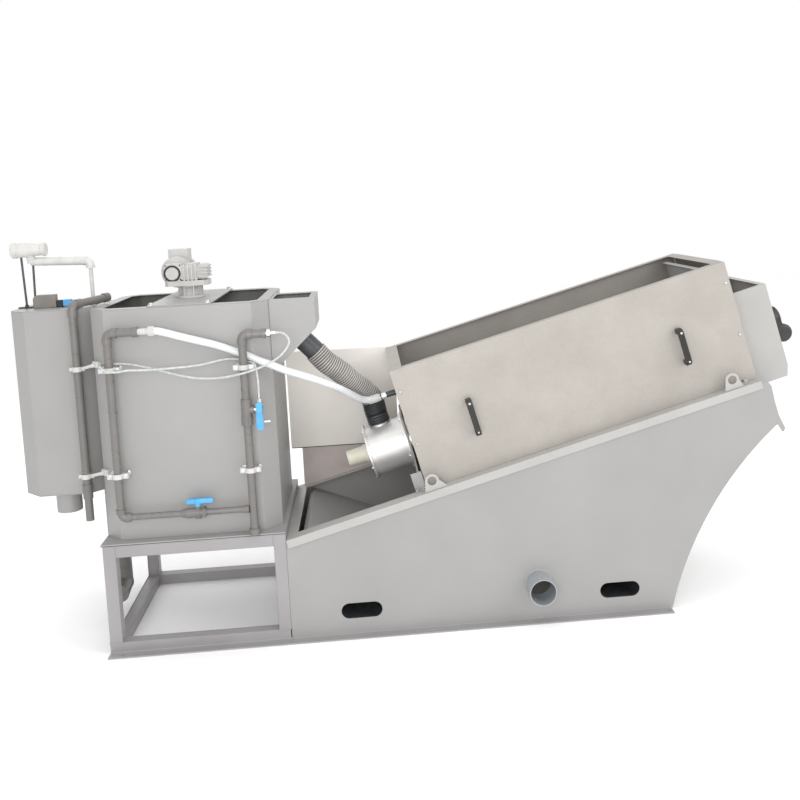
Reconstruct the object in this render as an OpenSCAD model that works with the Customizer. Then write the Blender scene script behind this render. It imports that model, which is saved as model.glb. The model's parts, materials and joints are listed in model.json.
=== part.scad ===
// Dewatering screw press with flocculation tank, filtrate tank and sloping drum
// The right hand end is the discharge end, the service side faces the viewer

/* [Frame] */
// Length of the base frame over the corners
base_l = 2290; // [2000:10:2600]
// Width of the base frame over the side plates
base_w = 740; // [700:10:860]
// Square tube of the tank stand
post = 50; // [40:1:60]
// Length of the stand under the flocculation tank
stand_l = 720; // [706:2:780]
// Height of the stand under the flocculation tank
stand_h = 444; // [400:1:500]
// Height of the bottom rails
rail_h = 46; // [30:1:56]
// Width of the bolting lip outside the frame
lip_w = 46; // [36:1:80]
// Thickness of the bolting lip and of the tank base plate
lip_t = 6; // [5:1:10]
// Diameter of the anchor holes in the lip
anchor_d = 14; // [10:1:20]
// Distance of the anchor hole from the inlet end of the frame
anchor_in = 52; // [30:1:80]
// Distance of the anchor hole from the discharge end of the frame
anchor_end = 18; // [14:1:50]
// Sheet thickness of the filtrate tank
sheet = 4; // [3:0.5:6]
// Width of the fork pockets over their round ends
slot_w = 166; // [120:2:200]
// Height of the fork pockets
slot_h = 64; // [50:2:100]

/* [Flocculation tank] */
// Length of the flocculation tank
tank_l = 702; // [640:2:702]
// Depth of the flocculation tank
tank_w = 640; // [600:2:660]
// Height of the tank top above the floor
tank_top = 1375; // [1300:1:1450]
// Chamfer of the upright tank corners
tank_ch = 64; // [40:1:80]
// Wall thickness of the tanks
wall = 3; // [2:0.5:4]
// Width of the rim around the tank opening
tank_rim = 46; // [30:1:60]
// Width of the bridge that carries the mixer
bridge_w = 250; // [200:2:280]
// Centre distance of the worm gearbox of the mixer
worm_a = 63; // [50:1:80]
// Length of the overflow box
outlet_l = 183; // [160:1:220]
// Depth of the overflow box
outlet_w = 290; // [240:2:320]

/* [Metering tank] */
// Length of the metering tank
meter_l = 342; // [300:2:380]
// Depth of the metering tank
meter_w = 400; // [340:2:440]
// Height of the metering tank
meter_h = 750; // [650:2:800]
// Width of the rim around the opening of the metering tank
meter_rim = 24; // [16:1:40]
// Depth of the shelf at the front of that opening
meter_shelf = 140; // [100:2:170]
// Chamfer of the upright corners of the metering tank
meter_ch = 73; // [50:1:84]

/* [Sloping parts] */
// Slope of the drum and of the filtrate tank rim in degrees
tilt = 15; // [13:0.1:17]
// Length of the drum cover
cover_l = 1440; // [1380:2:1480]
// Height of the drum cover panels
cover_h = 510; // [480:2:540]
// Depth of the drum cover
cover_w = 640; // [600:2:660]
// Sheet thickness of the drum cover
cover_t = 2; // [1.5:0.5:3]
// Width of the folded edge of the cover
cover_fold = 40; // [25:1:50]
// Outside diameter of the inlet casing
casing_d = 216; // [206:1:240]
// Outside diameter of the ring stack
drum_d = 200; // [180:2:204]
// Number of ring packs along the drum
ring_n = 40; // [24:1:48]
// Outside diameter of the screw flight
screw_d = 168; // [140:2:168]
// Diameter of the screw shaft
shaft_d = 70; // [50:1:80]
// Height of the rim bar
rim_h = 34; // [30:1:60]
// Width of the rim flange
rim_w = 60; // [50:1:70]
// Thickness of the rim bar
rim_t = 6; // [4:1:8]
// Length of the discharge box
box_l = 187; // [170:1:210]
// Depth of the discharge box
box_w = 400; // [360:2:440]
// Rise of the curved end wall over its chord
end_sag = 65; // [40:1:90]

/* [Pipes] */
// Outside diameter of the service pipes
pipe_d = 32; // [25:1:36]
// Outside diameter of the cross pipe with the ball valve
cross_d = 25; // [20:1:32]
// Outside diameter of the drain pipe
drain_d = 110; // [90:1:125]
// Outside diameter of the corrugated inlet hose
hose_d = 98; // [90:1:104]
// Distance of the hose ribs
hose_rib = 12; // [10:1:20]

/* [Hidden] */
gap = 0.3;
// place where the drum axis starts
axis_x = 1090;
axis_z = 661;
mid_y = base_w / 2;
tank_y = (base_w - tank_w) / 2;
tank_z = stand_h + lip_t;
cov_y = (base_w - cover_w) / 2;
function P(u, n) = [axis_x + u * cos(tilt) - n * sin(tilt), axis_z + u * sin(tilt) + n * cos(tilt)];
function P3(u, y, n) = [P(u, n)[0], mid_y + y, P(u, n)[1]];
// drum cover and what joins its ends
cov_u0 = 180;
cov_u1 = cov_u0 + cover_l;
end_t = 3;
drum_u0 = cov_u0 - 13;
box_u0 = cov_u1 + end_t;
box_u1 = box_u0 + box_l;
box_n0 = -213;
box_n1 = 201;
foot_y = mid_y - rim_w;
// rim of the filtrate tank
rim_n = -142;
cov_n0 = rim_n + gap;
cov_n1 = cov_n0 + cover_h;
rim_u0 = (stand_l - axis_x + rim_n * sin(tilt)) / cos(tilt);
rim_u1 = cov_u1 - 3;
function rim_z(x) = axis_z + (x - axis_x) * tan(tilt) + rim_n / cos(tilt);
// side plates with the lip of the chute
chute = [[cov_u1 + 34, -216], [cov_u1 + 30, -245], [cov_u1 + 31, -308], [cov_u1 + 42, -367]];
slot_z = 69;
slot_x = [924, base_l - 298];
drain_x = 1736;
drain_z = 158;
drain_l = 108;
// curved end wall through its foot and its tip
foot = [base_l + 7, lip_t];
tip = P(cov_u1 - 2, -348);
chord = tip - foot;
chord_l = norm(chord);
chord_n = [-chord[1], chord[0]] / chord_l;
arc_r = (chord_l * chord_l / 4 + end_sag * end_sag) / (2 * end_sag);
arc_c = (foot + tip) / 2 + chord_n * (end_sag - arc_r);
arc_a0 = atan2(foot[1] - arc_c[1], foot[0] - arc_c[0]);
arc_a1 = atan2(tip[1] - arc_c[1], tip[0] - arc_c[0]);
arc_n = 16;
function arc(r) = [for (i = [0 : arc_n]) let (a = arc_a0 + (arc_a1 - arc_a0) * i / arc_n)
    arc_c + r * [cos(a), sin(a)]];
function back(v) = [for (i = [len(v) - 1 : -1 : 0]) v[i]];
// rings of a tube swept along points, each ring square to the path
function unit(v) = v / norm(v);
function tan_at(p, i) = unit(p[min(i + 1, len(p) - 1)] - p[max(i - 1, 0)]);
function square_to(s, t) = unit(s - (s * t) * t);
function sides(p, acc) = len(acc) == len(p) ? acc
    : sides(p, concat(acc, [square_to(acc[len(acc) - 1], tan_at(p, len(acc)))]));
function ring_at(p, i, s, r, n) = let (w = cross(s, tan_at(p, i)))
    [for (k = [0 : n - 1]) p[i] + r * (s * cos(360 * k / n) + w * sin(360 * k / n))];
// faces of a tube of m rings with n points each
function tube_faces(m, n) = concat([[for (k = [n - 1 : -1 : 0]) k]],
    [for (i = [0 : m - 2]) for (k = [0 : n - 1]) each [
      [i * n + k, (i + 1) * n + (k + 1) % n, (i + 1) * n + k],
      [i * n + k, i * n + (k + 1) % n, (i + 1) * n + (k + 1) % n]]],
    [[for (k = [0 : n - 1]) (m - 1) * n + k]]);
function blend4(a, b, c, d, t) = 0.5 * (2 * b + (c - a) * t + (2 * a - 5 * b + 4 * c - d) * t * t
    + (3 * b - a - 3 * c + d) * t * t * t);
function smooth(p, m) = concat([for (i = [0 : len(p) - 2]) for (j = [0 : m - 1])
    blend4(p[max(i - 1, 0)], p[i], p[i + 1], p[min(i + 2, len(p) - 1)], j / m)], [p[len(p) - 1]]);
// length along a path up to each of its points, and n + 1 points at equal steps
function sums(p, i = 1, acc = [0]) = i >= len(p) ? acc
    : sums(p, i + 1, concat(acc, [acc[i - 1] + norm(p[i] - p[i - 1])]));
function even(p, n) = let (c = sums(p), l = c[len(c) - 1])
    [for (i = [0 : n]) [for (k = [0 : 2]) lookup(l * i / n, [for (j = [0 : len(p) - 1]) [c[j], p[j][k]]])]];
function path_l(p) = let (c = sums(p)) c[len(c) - 1];
// overflow box and the hose that runs from it to the casing
outlet_y = 110;
outlet_z = 1105;
outlet_h = tank_top - outlet_z;
port = [tank_l + outlet_l - 68, outlet_y + outlet_w / 2, tank_top - 185];
stub_u = 62;
stub_d = 86;
inlet_end = P3(stub_u, 0, casing_d / 2 + 4 + 2 * gap);
inlet_path = [port + [3, 0, -3.3], port + [47, 3, -51], port + [92, 11, -105], port + [146, 30, -151],
    inlet_end + [-120, -65, 213], inlet_end + [-64, -35, 159], inlet_end + [-27, -15, 112],
    P3(stub_u, 0, casing_d / 2 + 62), P3(stub_u, 0, casing_d / 2 + 34), inlet_end];
// mixer drive
mixer_x = 352;
mixer_y = mid_y;
bridge_t = 6;
mixer_z = tank_top + wall + bridge_t;
worm_z = mixer_z + 104;
// service pipes
pipe_y = 2;
riser_x = [85, 600];
cross_z = 556;
riser_top = [1290, 1256];
valve_x = [330, 404];
valve_d = 40;
valve_top = cross_z + 26;
branch_z = 957;
small_x = 652;
clamp_z = [[714, 1136], [704, 1117]];
// metering tank with its pipes
meter_y = 145;
meter_z = tank_top - meter_h;
bar_z = 1562;
bar_y = 300;
return_x = -60;
return_y = 470;
return_d = 90;
// spray pipe above the drum
spray_y = -95;
spray_n = 238;
spray_u0 = 108;
spray_d = 20;
end_hole = drum_d + 2 * gap;
mid_u = cov_u1 - 60;
spray_path = [[252, 2, 1290], [264, 2, 1290], [282, 2, 1288], [308, 2, 1281], [364, 6, 1262], [419, 12, 1244], [474, 20, 1226],
    [519, 27, 1209], [584, 34, 1181], [614, 34, 1168], [653, 34, 1147], [703, 36, 1125], [754, 44, 1099],
    [813, 64, 1072], [867, 95, 1045], [955, 160, 992], [1012, 218, 946], [1052, 258, 916],
    P3(spray_u0 - 40, spray_y, spray_n), P3(spray_u0 - 2 * gap, spray_y, spray_n)];
sample_path = [[733, 2, 1256], [745, 2, 1256], [767, -4, 1250], [784, -10, 1227], [778, -16, 1202], [756, -22, 1175],
    [729, -28, 1155], [693, -32, 1137], [658, -32, 1124], [623, -32, 1114], [588, -32, 1106],
    [518, -24, 1095], [432, -16, 1096], [363, -8, 1109], [297, 2, 1127], [218, 20, 1148],
    [151, 32, 1162], [101, 33, 1165], [62, 30, 1167], [51, 6, 1166], [58, -20, 1164], [78, -32, 1150],
    [117, -34, 1142], [160, -30, 1146], [243, -20, 1142], [337, -14, 1143], [432, 2, 1146], [515, 22, 1158],
    [553, 32, 1158], [585, 31, 1153], [612, 30, 1144], [630, 18, 1141], [642, 12, 1134],
    [647, 10, 1112], [650, 8, 1085], [652, 4, 1055], [651, 2, 1020]];

module place() {
  translate([-base_l / 2, -base_w / 2, 0]) children();
}
// frame of the sloping parts: along the drum, across it, and square to both
module tilted() {
  translate([axis_x - base_l / 2, 0, axis_z]) rotate([0, -tilt, 0]) children();
}
// flat sheet drawn in length and height, from depth y0 with thickness t
module upright(y0, t) {
  translate([0, y0 + t, 0]) rotate([90, 0, 0]) linear_extrude(t) children();
}
// sheet bent out of the length and height drawing over the inner width
module across() {
  upright(sheet, base_w - 2 * sheet) children();
}
// profile drawn in depth and height, run along the drum
module along(u0, l) {
  translate([u0, 0, 0]) rotate([90, 0, 90]) linear_extrude(l) children();
}
module bar(a, b) {
  translate(a) cube(b - a);
}
module rod(a, b, d, fn = 24) {
  v = b - a;
  l = norm(v);
  translate(a) rotate([0, acos(v[2] / l), atan2(v[1], v[0])]) cylinder(d = d, h = l, $fn = fn);
}
// pipe elbow: ball and two sockets
module elbow(p, a, b) {
  translate(p) sphere(d = pipe_d + 8, $fn = 24);
  rod(p, p + a * 34, pipe_d + 8);
  rod(p, p + b * 34, pipe_d + 8);
}
module chamfered(l, w, c) {
  polygon([[c, 0], [l - c, 0], [l, c], [l, w - c], [l - c, w], [c, w], [0, w - c], [0, c]]);
}
module tube_shell(l, w, c, t, h) {
  linear_extrude(h) difference() {
    chamfered(l, w, c);
    translate([t, t]) chamfered(l - 2 * t, w - 2 * t, c - t * 0.586);
  }
}
// disc, finned barrel, end bell and fan cowl of an electric motor standing on its flange
module motor(d, l) {
  cylinder(d = d + 22, h = 10, $fn = 40);
  translate([0, 0, 10]) cylinder(d = d * 0.8, h = 10, $fn = 40);
  translate([0, 0, 20]) linear_extrude(l - 70) union() {
    circle(d = d - 14, $fn = 40);
    for (k = [0 : 19]) rotate(k * 18) translate([0, -1.5]) square([d / 2, 3]);
  }
  translate([0, 0, l - 50]) rotate_extrude($fn = 40)
    polygon([[0, 0], [d / 2, 0], [d / 2, 36], [d / 2 - 6, 46], [d / 2 - 16, 50], [0, 50]]);
}

// Bottom rail of the service side with its bolting lip
module base_rail_front() {
  color("lightgrey") place() {
    difference() {
      bar([0, -lip_w, 0], [base_l, post, lip_t]);
      for (x = [anchor_in, base_l - anchor_end])
        translate([x, -lip_w * 0.55, -1]) cylinder(d = anchor_d, h = lip_t + 2, $fn = 24);
    }
    bar([0, 0, lip_t], [stand_l - sheet, post, rail_h]);
    bar([stand_l, sheet, lip_t], [base_l - 6, sheet + 4, rail_h - 6]);
  }
}
// Bottom rail of the far side
module base_rail_rear() {
  color("lightgrey") place() translate([0, base_w, 0]) mirror([0, 1, 0]) {
    difference() {
      bar([0, -lip_w, 0], [base_l, post, lip_t]);
      for (x = [anchor_in, base_l - anchor_end])
        translate([x, -lip_w * 0.55, -1]) cylinder(d = anchor_d, h = lip_t + 2, $fn = 24);
    }
    bar([0, 0, lip_t], [stand_l - sheet, post, rail_h]);
    bar([stand_l, sheet, lip_t], [base_l - 6, sheet + 4, rail_h - 6]);
  }
}
// Open stand of square tube under the flocculation tank
module tank_stand() {
  color("lightgrey") place() {
    for (x = [0, stand_l - post]) for (y = [0, base_w - post])
      bar([x, y, rail_h], [x + post, y + post, stand_h]);
    for (y = [0, base_w - post]) bar([post, y, stand_h - post], [stand_l - post, y + post, stand_h]);
    for (x = [0, stand_l - post]) bar([x, post, stand_h - post], [x + post, base_w - post, stand_h]);
    bar([0, post, 0], [post, base_w - post, rail_h]);
  }
}
// slot with round ends, widened by w all round
module slot_2d(x, w = 0) {
  r = slot_h / 2;
  translate([x + r, slot_z - w]) square([slot_w - slot_h, slot_h + 2 * w]);
  for (m = [x + r, x + slot_w - r]) translate([m, slot_z + r]) circle(r + w, $fn = 40);
}
// outline of a side plate: base, curved end, horn of the chute, slope of the rim
module side_plate_2d() {
  difference() {
    polygon(concat([[stand_l, lip_t]], arc(arc_r), [P(cov_u1 + 16, -340), P(cov_u1 + 25, -374),
      P(cov_u1 + 32, -379), P(cov_u1 + 42, -367), P(cov_u1 + 31, -308), P(cov_u1 + 30, -245),
      P(cov_u1 + 34, -179), P(cov_u1 + 26, -159), P(rim_u1, rim_n - rim_t),
      P(rim_u0, rim_n - rim_t), [stand_l, P(rim_u0, rim_n - rim_t)[1]]]));
    for (x = slot_x) slot_2d(x);
  }
}
// Side plate of the filtrate tank towards the viewer
module front_plate() {
  color("lightgrey") place() difference() {
    upright(0, sheet) side_plate_2d();
    translate([drain_x, -1, drain_z]) rotate([-90, 0, 0]) cylinder(d = drain_d - 8, h = sheet + 2, $fn = 32);
  }
}
// Side plate of the filtrate tank on the far side
module rear_plate() {
  color("lightgrey") place() upright(base_w - sheet, sheet) side_plate_2d();
}
// End wall between filtrate tank and tank stand
module body_left_wall() {
  color("lightgrey") place()
    bar([stand_l, sheet + 4, lip_t], [stand_l + sheet, base_w - sheet - 4, P(rim_u0, rim_n)[1] - rim_t - 2]);
}
// Floor of the filtrate tank on the cross tie of the base
module body_floor() {
  color("lightgrey") place() {
    bar([stand_l + sheet, sheet, rail_h - 6], [base_l, base_w - sheet, rail_h - 6 + sheet]);
    bar([base_l / 2 - post / 2, post, 0], [base_l / 2 + post / 2, base_w - post, rail_h - 6]);
  }
}
// Curved wall that rises from the base to the underside of the chute
module body_end_wall() {
  color("lightgrey") place() across() polygon(concat(arc(arc_r), back(arc(arc_r + sheet))));
}
// Short wall that closes the tank under the chute
module spout_wall() {
  color("lightgrey") place() across()
    polygon([tip, P(cov_u1 + 30.7, -330), P(cov_u1 + 29.3, -322), tip + sheet * [cos(arc_a1), sin(arc_a1)]]);
}
// Chute sheet that the cake slides down, with its throw-off lip
module cake_chute() {
  color("lightgrey") place() across()
    polygon([for (c = chute) P(c[0], c[1]), for (c = back(chute)) P(c[0] - sheet, c[1])]);
}
// Sloping floor at the inlet end of the filtrate tank
module hopper_floor() {
  t = sheet;
  color("gainsboro") place() across()
    polygon([[780, 330], [780, 398], [797, 405], [1081, 290], [1230, 262], [1230, 262 - t],
      [1081, 290 - t], [797, 405 - t], [780 + t, 398 - t], [780 + t, 330]]);
}
// sleeve between the slots of the two side plates
module fork_pocket(x) {
  color("dimgrey") place() across() difference() {
    slot_2d(x, 3);
    slot_2d(x);
  }
}
// Lifting pocket near the tank stand
module fork_pocket_left() {
  fork_pocket(slot_x[0]);
}
// Lifting pocket near the discharge end
module fork_pocket_right() {
  fork_pocket(slot_x[1]);
}
// angle bar: outer leg over the side plate, flange turned inwards
module rim_bar() {
  along(rim_u0, rim_u1 - rim_u0) translate([-mid_y, rim_n])
    polygon([[-rim_t, 0], [rim_w, 0], [rim_w, -rim_t], [0, -rim_t], [0, -rim_h], [-rim_t, -rim_h]]);
}
// Rim bar of the filtrate tank towards the viewer
module rim_front() {
  color("whitesmoke") tilted() rim_bar();
}
// Rim bar of the filtrate tank on the far side
module rim_rear() {
  color("whitesmoke") tilted() mirror([0, 1, 0]) rim_bar();
}
// Rim bar across the inlet end
module rim_left() {
  color("whitesmoke") tilted()
    translate([rim_u0, -foot_y, rim_n - rim_t]) cube([rim_w - 14, 2 * foot_y, rim_t]);
}
// Drain pipe of the filtrate tank
module drain_pipe() {
  color("grey") place() translate([drain_x, 0, drain_z]) rotate([90, 0, 0]) rotate_extrude($fn = 40)
    translate([drain_d / 2 - 4, 0]) square([4, drain_l]);
}
// Base plate and floor of the flocculation tank
module floc_tank_floor() {
  color("lightgrey") place() bar([-6, 0, stand_h], [stand_l, base_w, tank_z]);
}
// Wall of the flocculation tank, with the mouth of the overflow box
module floc_tank_shell() {
  color("lightgrey") place() difference() {
    translate([0, tank_y, tank_z]) tube_shell(tank_l, tank_w, tank_ch, wall, tank_top - tank_z);
    bar([tank_l - wall - 1, tank_y + tank_ch + 20, tank_top - 160],
        [tank_l + 1, outlet_y + outlet_w - 20, tank_top - 30]);
  }
}
// Folded rim of the flocculation tank
module floc_tank_top() {
  color("lightgrey") place() translate([0, tank_y, tank_top]) linear_extrude(wall) difference() {
    chamfered(tank_l, tank_w, tank_ch);
    translate([tank_rim, tank_rim]) chamfered(tank_l - 2 * tank_rim, tank_w - 2 * tank_rim, tank_ch / 2);
  }
}
// Bridge plate that carries the mixer drive
module mixer_bridge() {
  color("lightgrey") place() difference() {
    bar([mixer_x + 6 - bridge_w / 2, tank_y + 4, tank_top + wall],
        [mixer_x + 6 + bridge_w / 2, tank_y + tank_w - 4, tank_top + wall + bridge_t]);
    translate([mixer_x, mixer_y, tank_top]) cylinder(d = 60, h = 20, $fn = 32);
  }
}
// Worm gearbox of the mixer on its lantern
module mixer_gearbox() {
  h = worm_z - mixer_z;
  color("white") place() translate([mixer_x, mixer_y, mixer_z]) {
    rotate_extrude($fn = 40) polygon([[0, 0], [59, 0], [59, 7], [40, 11], [34, 24], [36, 38],
      [52, 46], [52, 50], [0, 50]]);
    for (a = [22.5 : 45 : 359]) rotate(a) translate([30, -2.5, 6]) cube([22, 5, 41]);
    translate([0, 0, 50]) linear_extrude(h - 82) difference() {
      translate([-97, -55]) chamfered(179, 110, 14);
      for (x = [-84, 68]) for (y = [-44, 44]) translate([x, y]) circle(d = 9, $fn = 16);
    }
    upright(-50, 105) translate([-97, h - 32]) chamfered(74, 72, 9);
    upright(-50, 100) translate([0, h - 32]) union() {
      translate([-24, 3]) square([66, 62]);
      translate([40, 6]) chamfered(40, 60, 8);
    }
    for (x = [-14, 2, 18, 34]) upright(-55, 110) translate([x - 3, h - 32]) square([6, 68]);
    for (z = [12, 26, 40, 54]) bar([46, -55, h - 32 + z], [84, 55, h - 32 + z + 6]);
    translate([9, 0, h + 20]) cylinder(d = 74, h = 20, $fn = 40);
    translate([-worm_a, -50, h]) rotate([90, 0, 0]) rotate_extrude($fn = 40)
      polygon([[0, 0], [36, 0], [36, 4], [27, 4], [25, 8], [0, 8]]);
  }
}
// Motor behind the mixer gearbox, with its terminal box
module mixer_motor() {
  color("white") place() translate([mixer_x - worm_a, mixer_y + 55 + gap, worm_z]) {
    rotate([-90, 0, 0]) motor(112, 210);
    bar([-42, 50, 40], [42, 134, 96]);
  }
}
// Stirrer shaft with two crossed blade pairs inside the flocculation tank
module mixer_shaft() {
  color("silver") place() translate([mixer_x, mixer_y, 0]) {
    translate([0, 0, 560]) cylinder(d = 30, h = mixer_z - 560, $fn = 20);
    for (k = [0, 1]) translate([0, 0, 600 + 330 * k]) rotate(90 * k) {
      cylinder(d = 56, h = 70, $fn = 24);
      for (s = [0, 180]) rotate(s) translate([18, 0, 35]) rotate([45, 0, 0]) translate([0, -35, -3])
        cube([162, 70, 6]);
    }
  }
}
// Overflow box on the side of the flocculation tank
module outlet_box() {
  l = outlet_l;
  h = outlet_h;
  color("lightgrey") place() translate([tank_l, outlet_y, outlet_z]) difference() {
    upright(0, outlet_w) polygon([[0, h], [l, h], [l, h - 123], [28, 0], [0, 0]]);
    upright(wall, outlet_w - 2 * wall)
      polygon([[-1, h - wall], [l - wall, h - wall], [l - wall, h - 121], [27, wall], [-1, wall]]);
    bar([12, 40, h - 10], [l - 24, outlet_w - 40, h + 1]);
    translate(port - [tank_l, outlet_y, outlet_z]) rotate([0, 138, 0]) translate([0, 0, -30])
      cylinder(d = stub_d - 10, h = 60, $fn = 32);
  }
}
module sweep(p, r, n) {
  m = len(p);
  s = sides(p, [square_to([0, 1, 0], tan_at(p, 0))]);
  polyhedron(points = [for (i = [0 : m - 1]) each ring_at(p, i, s[i], r[i], n)],
    faces = tube_faces(m, n));
}
// Corrugated hose from the overflow box to the inlet casing, with a smooth cuff at its top
module inlet_hose() {
  p = smooth(inlet_path, 6);
  m = 2 * floor(path_l(p) / hose_rib);
  q = even(p, m);
  cuff = 75 / hose_rib * 2;
  color("dimgrey") place()
    sweep(q, [for (i = [0 : m]) i < cuff ? stub_d / 2 : hose_d / 2 - (i % 2) * 4], 14);
}
// Inlet casing with its end flanges and hose stub
module inlet_casing() {
  r = casing_d / 2;
  l = cov_u0 - 21;
  color("silver") tilted() difference() {
    union() {
      translate([-18, 0, 0]) rotate([0, 90, 0]) rotate_extrude($fn = 64)
        polygon([[0, 0], [r + 12, 0], [r + 12, 8], [r, 8], [r, l + 10], [r + 16, l + 10], [r + 16, l + 18],
          [r - 4, l + 18], [r - 4, 12], [0, 12]]);
      translate([stub_u, 0, r - 12]) cylinder(d = stub_d - 14, h = 16, $fn = 32);
    }
    translate([stub_u, 0, r - 30]) cylinder(d = stub_d - 22, h = 60, $fn = 32);
  }
}
// Cap on the middle of the casing flange
module drain_cap() {
  color("ivory") tilted() translate([-118, 0, 0]) rotate([0, 90, 0]) rotate_extrude($fn = 40)
    polygon([[0, 0], [33, 0], [35, 2], [35, 78], [41, 78], [41, 100], [0, 100]]);
}
// Stack of fixed and moving rings, turned from one comb profile
module drum_rings() {
  s = (box_u0 - drum_u0) / ring_n;
  r = drum_d / 2;
  comb = [for (i = [0 : ring_n - 1]) each
    [[r, i * s], [r, (i + 0.62) * s], [r - 6, (i + 0.62) * s], [r - 6, (i + 1) * s]]];
  color("silver") tilted() translate([drum_u0, 0, 0]) rotate([0, 90, 0]) rotate_extrude($fn = 48)
    polygon(concat([[screw_d / 2 + 2, 0]], comb, [[screw_d / 2 + 2, ring_n * s]]));
}
// Shaft of the screw with its flight, whose pitch narrows towards the discharge end
module screw_shaft() {
  l = cov_u1 - 20;
  turns = 10;
  n = 20 * turns;
  r = [shaft_d / 2 + gap, screw_d / 2];
  f = [for (i = [0 : n]) let (s = i / n, a = 360 * turns * s, u = 10 + (l - 20) * (1.25 * s - 0.25 * s * s))
    each [for (c = [[r[0], -2], [r[1], -2], [r[1], 2], [r[0], 2]]) [u + c[1], c[0] * cos(a), c[0] * sin(a)]]];
  color("silver") tilted() {
    translate([-6, 0, 0]) rotate([0, 90, 0]) cylinder(d = shaft_d, h = box_u1 + 6, $fn = 32);
    polyhedron(points = f, faces = tube_faces(n + 1, 4));
  }
}
// Tie rods of the ring stack with the ring plates that stand on the rim
module tie_rods() {
  r = drum_d / 2 + 16;
  color("silver") tilted() {
    for (a = [30 : 60 : 359]) translate([cov_u0 + end_t, 0, 0]) rotate([a, 0, 0]) translate([0, 0, r])
      rotate([0, 90, 0]) cylinder(d = 16, h = mid_u - cov_u0 - end_t, $fn = 16);
    for (k = [1 : 5]) along(cov_u0 + (mid_u - cov_u0) * k / 6, 6) difference() {
      union() {
        circle(d = 2 * r + 4, $fn = 48);
        for (a = [0 : 60 : 359]) rotate(a) translate([r, 0]) circle(d = 36, $fn = 24);
        polygon([[-foot_y - 6, rim_n + gap], [foot_y + 6, rim_n + gap], [foot_y + 6, rim_n + 26],
          [110, rim_n + 60], [-110, rim_n + 60], [-foot_y - 6, rim_n + 26]]);
      }
      circle(d = end_hole, $fn = 48);
    }
  }
}
// upright plate over the drum with feet of height leg on both rim flanges
module drum_support(u, d, half, top, fold, leg) {
  tilted() {
    along(u, 8) difference() {
      polygon([[-foot_y, rim_n + 8], [foot_y, rim_n + 8], [foot_y, rim_n + leg], [half, rim_n + leg + 20],
        [half, top], [-half, top], [-half, rim_n + leg + 20], [-foot_y, rim_n + leg]]);
      circle(d = d, $fn = 64);
    }
    if (fold > 0) translate([u - fold, -half, top - 3]) cube([fold, 2 * half, 3]);
    for (s = [0, 1]) mirror([0, s, 0]) {
      translate([u - 28, -foot_y - 6, rim_n]) cube([45, 6, leg]);
      translate([u - 28, -foot_y - 42, rim_n]) cube([45, 37, 6]);
    }
  }
}
// Support plate of the drum at the inlet end
module drum_support_left() {
  color("lightgrey") drum_support(cov_u0 - 21, screw_d + 4, 150, 128, 0, 78);
}
// Support plate of the drum at the discharge end
module drum_support_right() {
  color("lightgrey") drum_support(mid_u, end_hole, cover_w / 2 - cover_fold, cov_n1 - 21, 14, 40);
}
// panel folded inwards along its top edge, notched over the foot of the drum support
module cover_side() {
  difference() {
    along(cov_u0, cover_l) translate([-cover_w / 2, 0]) polygon([[0, cov_n0], [cover_t, cov_n0],
      [cover_t, cov_n1 - cover_t], [cover_fold, cov_n1 - cover_t], [cover_fold, cov_n1], [0, cov_n1]]);
    translate([mid_u - 30, -cover_w / 2 - 1, cov_n0 - 1]) cube([49, cover_t + 2, 9]);
  }
}
// Removable cover panel towards the viewer
module cover_front() {
  color("silver") tilted() cover_side();
}
// Cover panel on the far side
module cover_rear() {
  color("silver") tilted() mirror([0, 1, 0]) cover_side();
}
// end plate between the panels with a folded top edge
module cover_end(u, f, s) {
  w = cover_w / 2 - cover_t;
  h = cover_w / 2 - cover_fold;
  top = cov_n1 - cover_t;
  tilted() {
    along(u, end_t) difference() {
      translate([-w, rim_n]) square([2 * w, top - rim_n]);
      circle(d = end_hole, $fn = 48);
      translate([spray_y, spray_n]) circle(d = spray_d + 2 * gap, $fn = 24);
    }
    translate([s > 0 ? u : u + end_t - f, -h, top]) cube([f, 2 * h, cover_t]);
  }
}
// End plate of the cover at the inlet
module cover_left_end() {
  color("silver") cover_end(cov_u0, 54, 1);
}
// End plate of the cover at the discharge box
module cover_right_end() {
  color("silver") cover_end(cov_u1, 42, -1);
}
// Two bow handles on the removable panel
module cover_handles() {
  color("black") tilted() for (u = [cov_u0 + 256, cov_u1 - 276])
    along(u, 24) translate([-cover_w / 2, 10]) polygon([[0, 0], [-30, 0], [-44, 14], [-44, 142], [-30, 156],
      [0, 156], [0, 134], [-22, 134], [-28, 128], [-28, 28], [-22, 22], [0, 22]]);
}
module lug(u, toe) {
  translate([u, -mid_y + 14, rim_n]) rotate([90, 0, 0]) linear_extrude(10) difference() {
    union() {
      translate([0, 39]) circle(d = 58, $fn = 32);
      polygon([[-41, 0], [toe, 0], [27, 36], [-28, 44]]);
    }
    translate([0, 39]) circle(d = 36, $fn = 24);
  }
}
// Lifting lugs on the rim towards the viewer
module lugs_front() {
  color("whitesmoke") tilted() {
    lug(cov_u0 + 28, 57);
    lug(cov_u1 - 115, 41);
  }
}
// Lifting lugs on the rim of the far side
module lugs_rear() {
  color("whitesmoke") tilted() mirror([0, 1, 0]) {
    lug(cov_u0 + 28, 57);
    lug(cov_u1 - 115, 41);
  }
}
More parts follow.
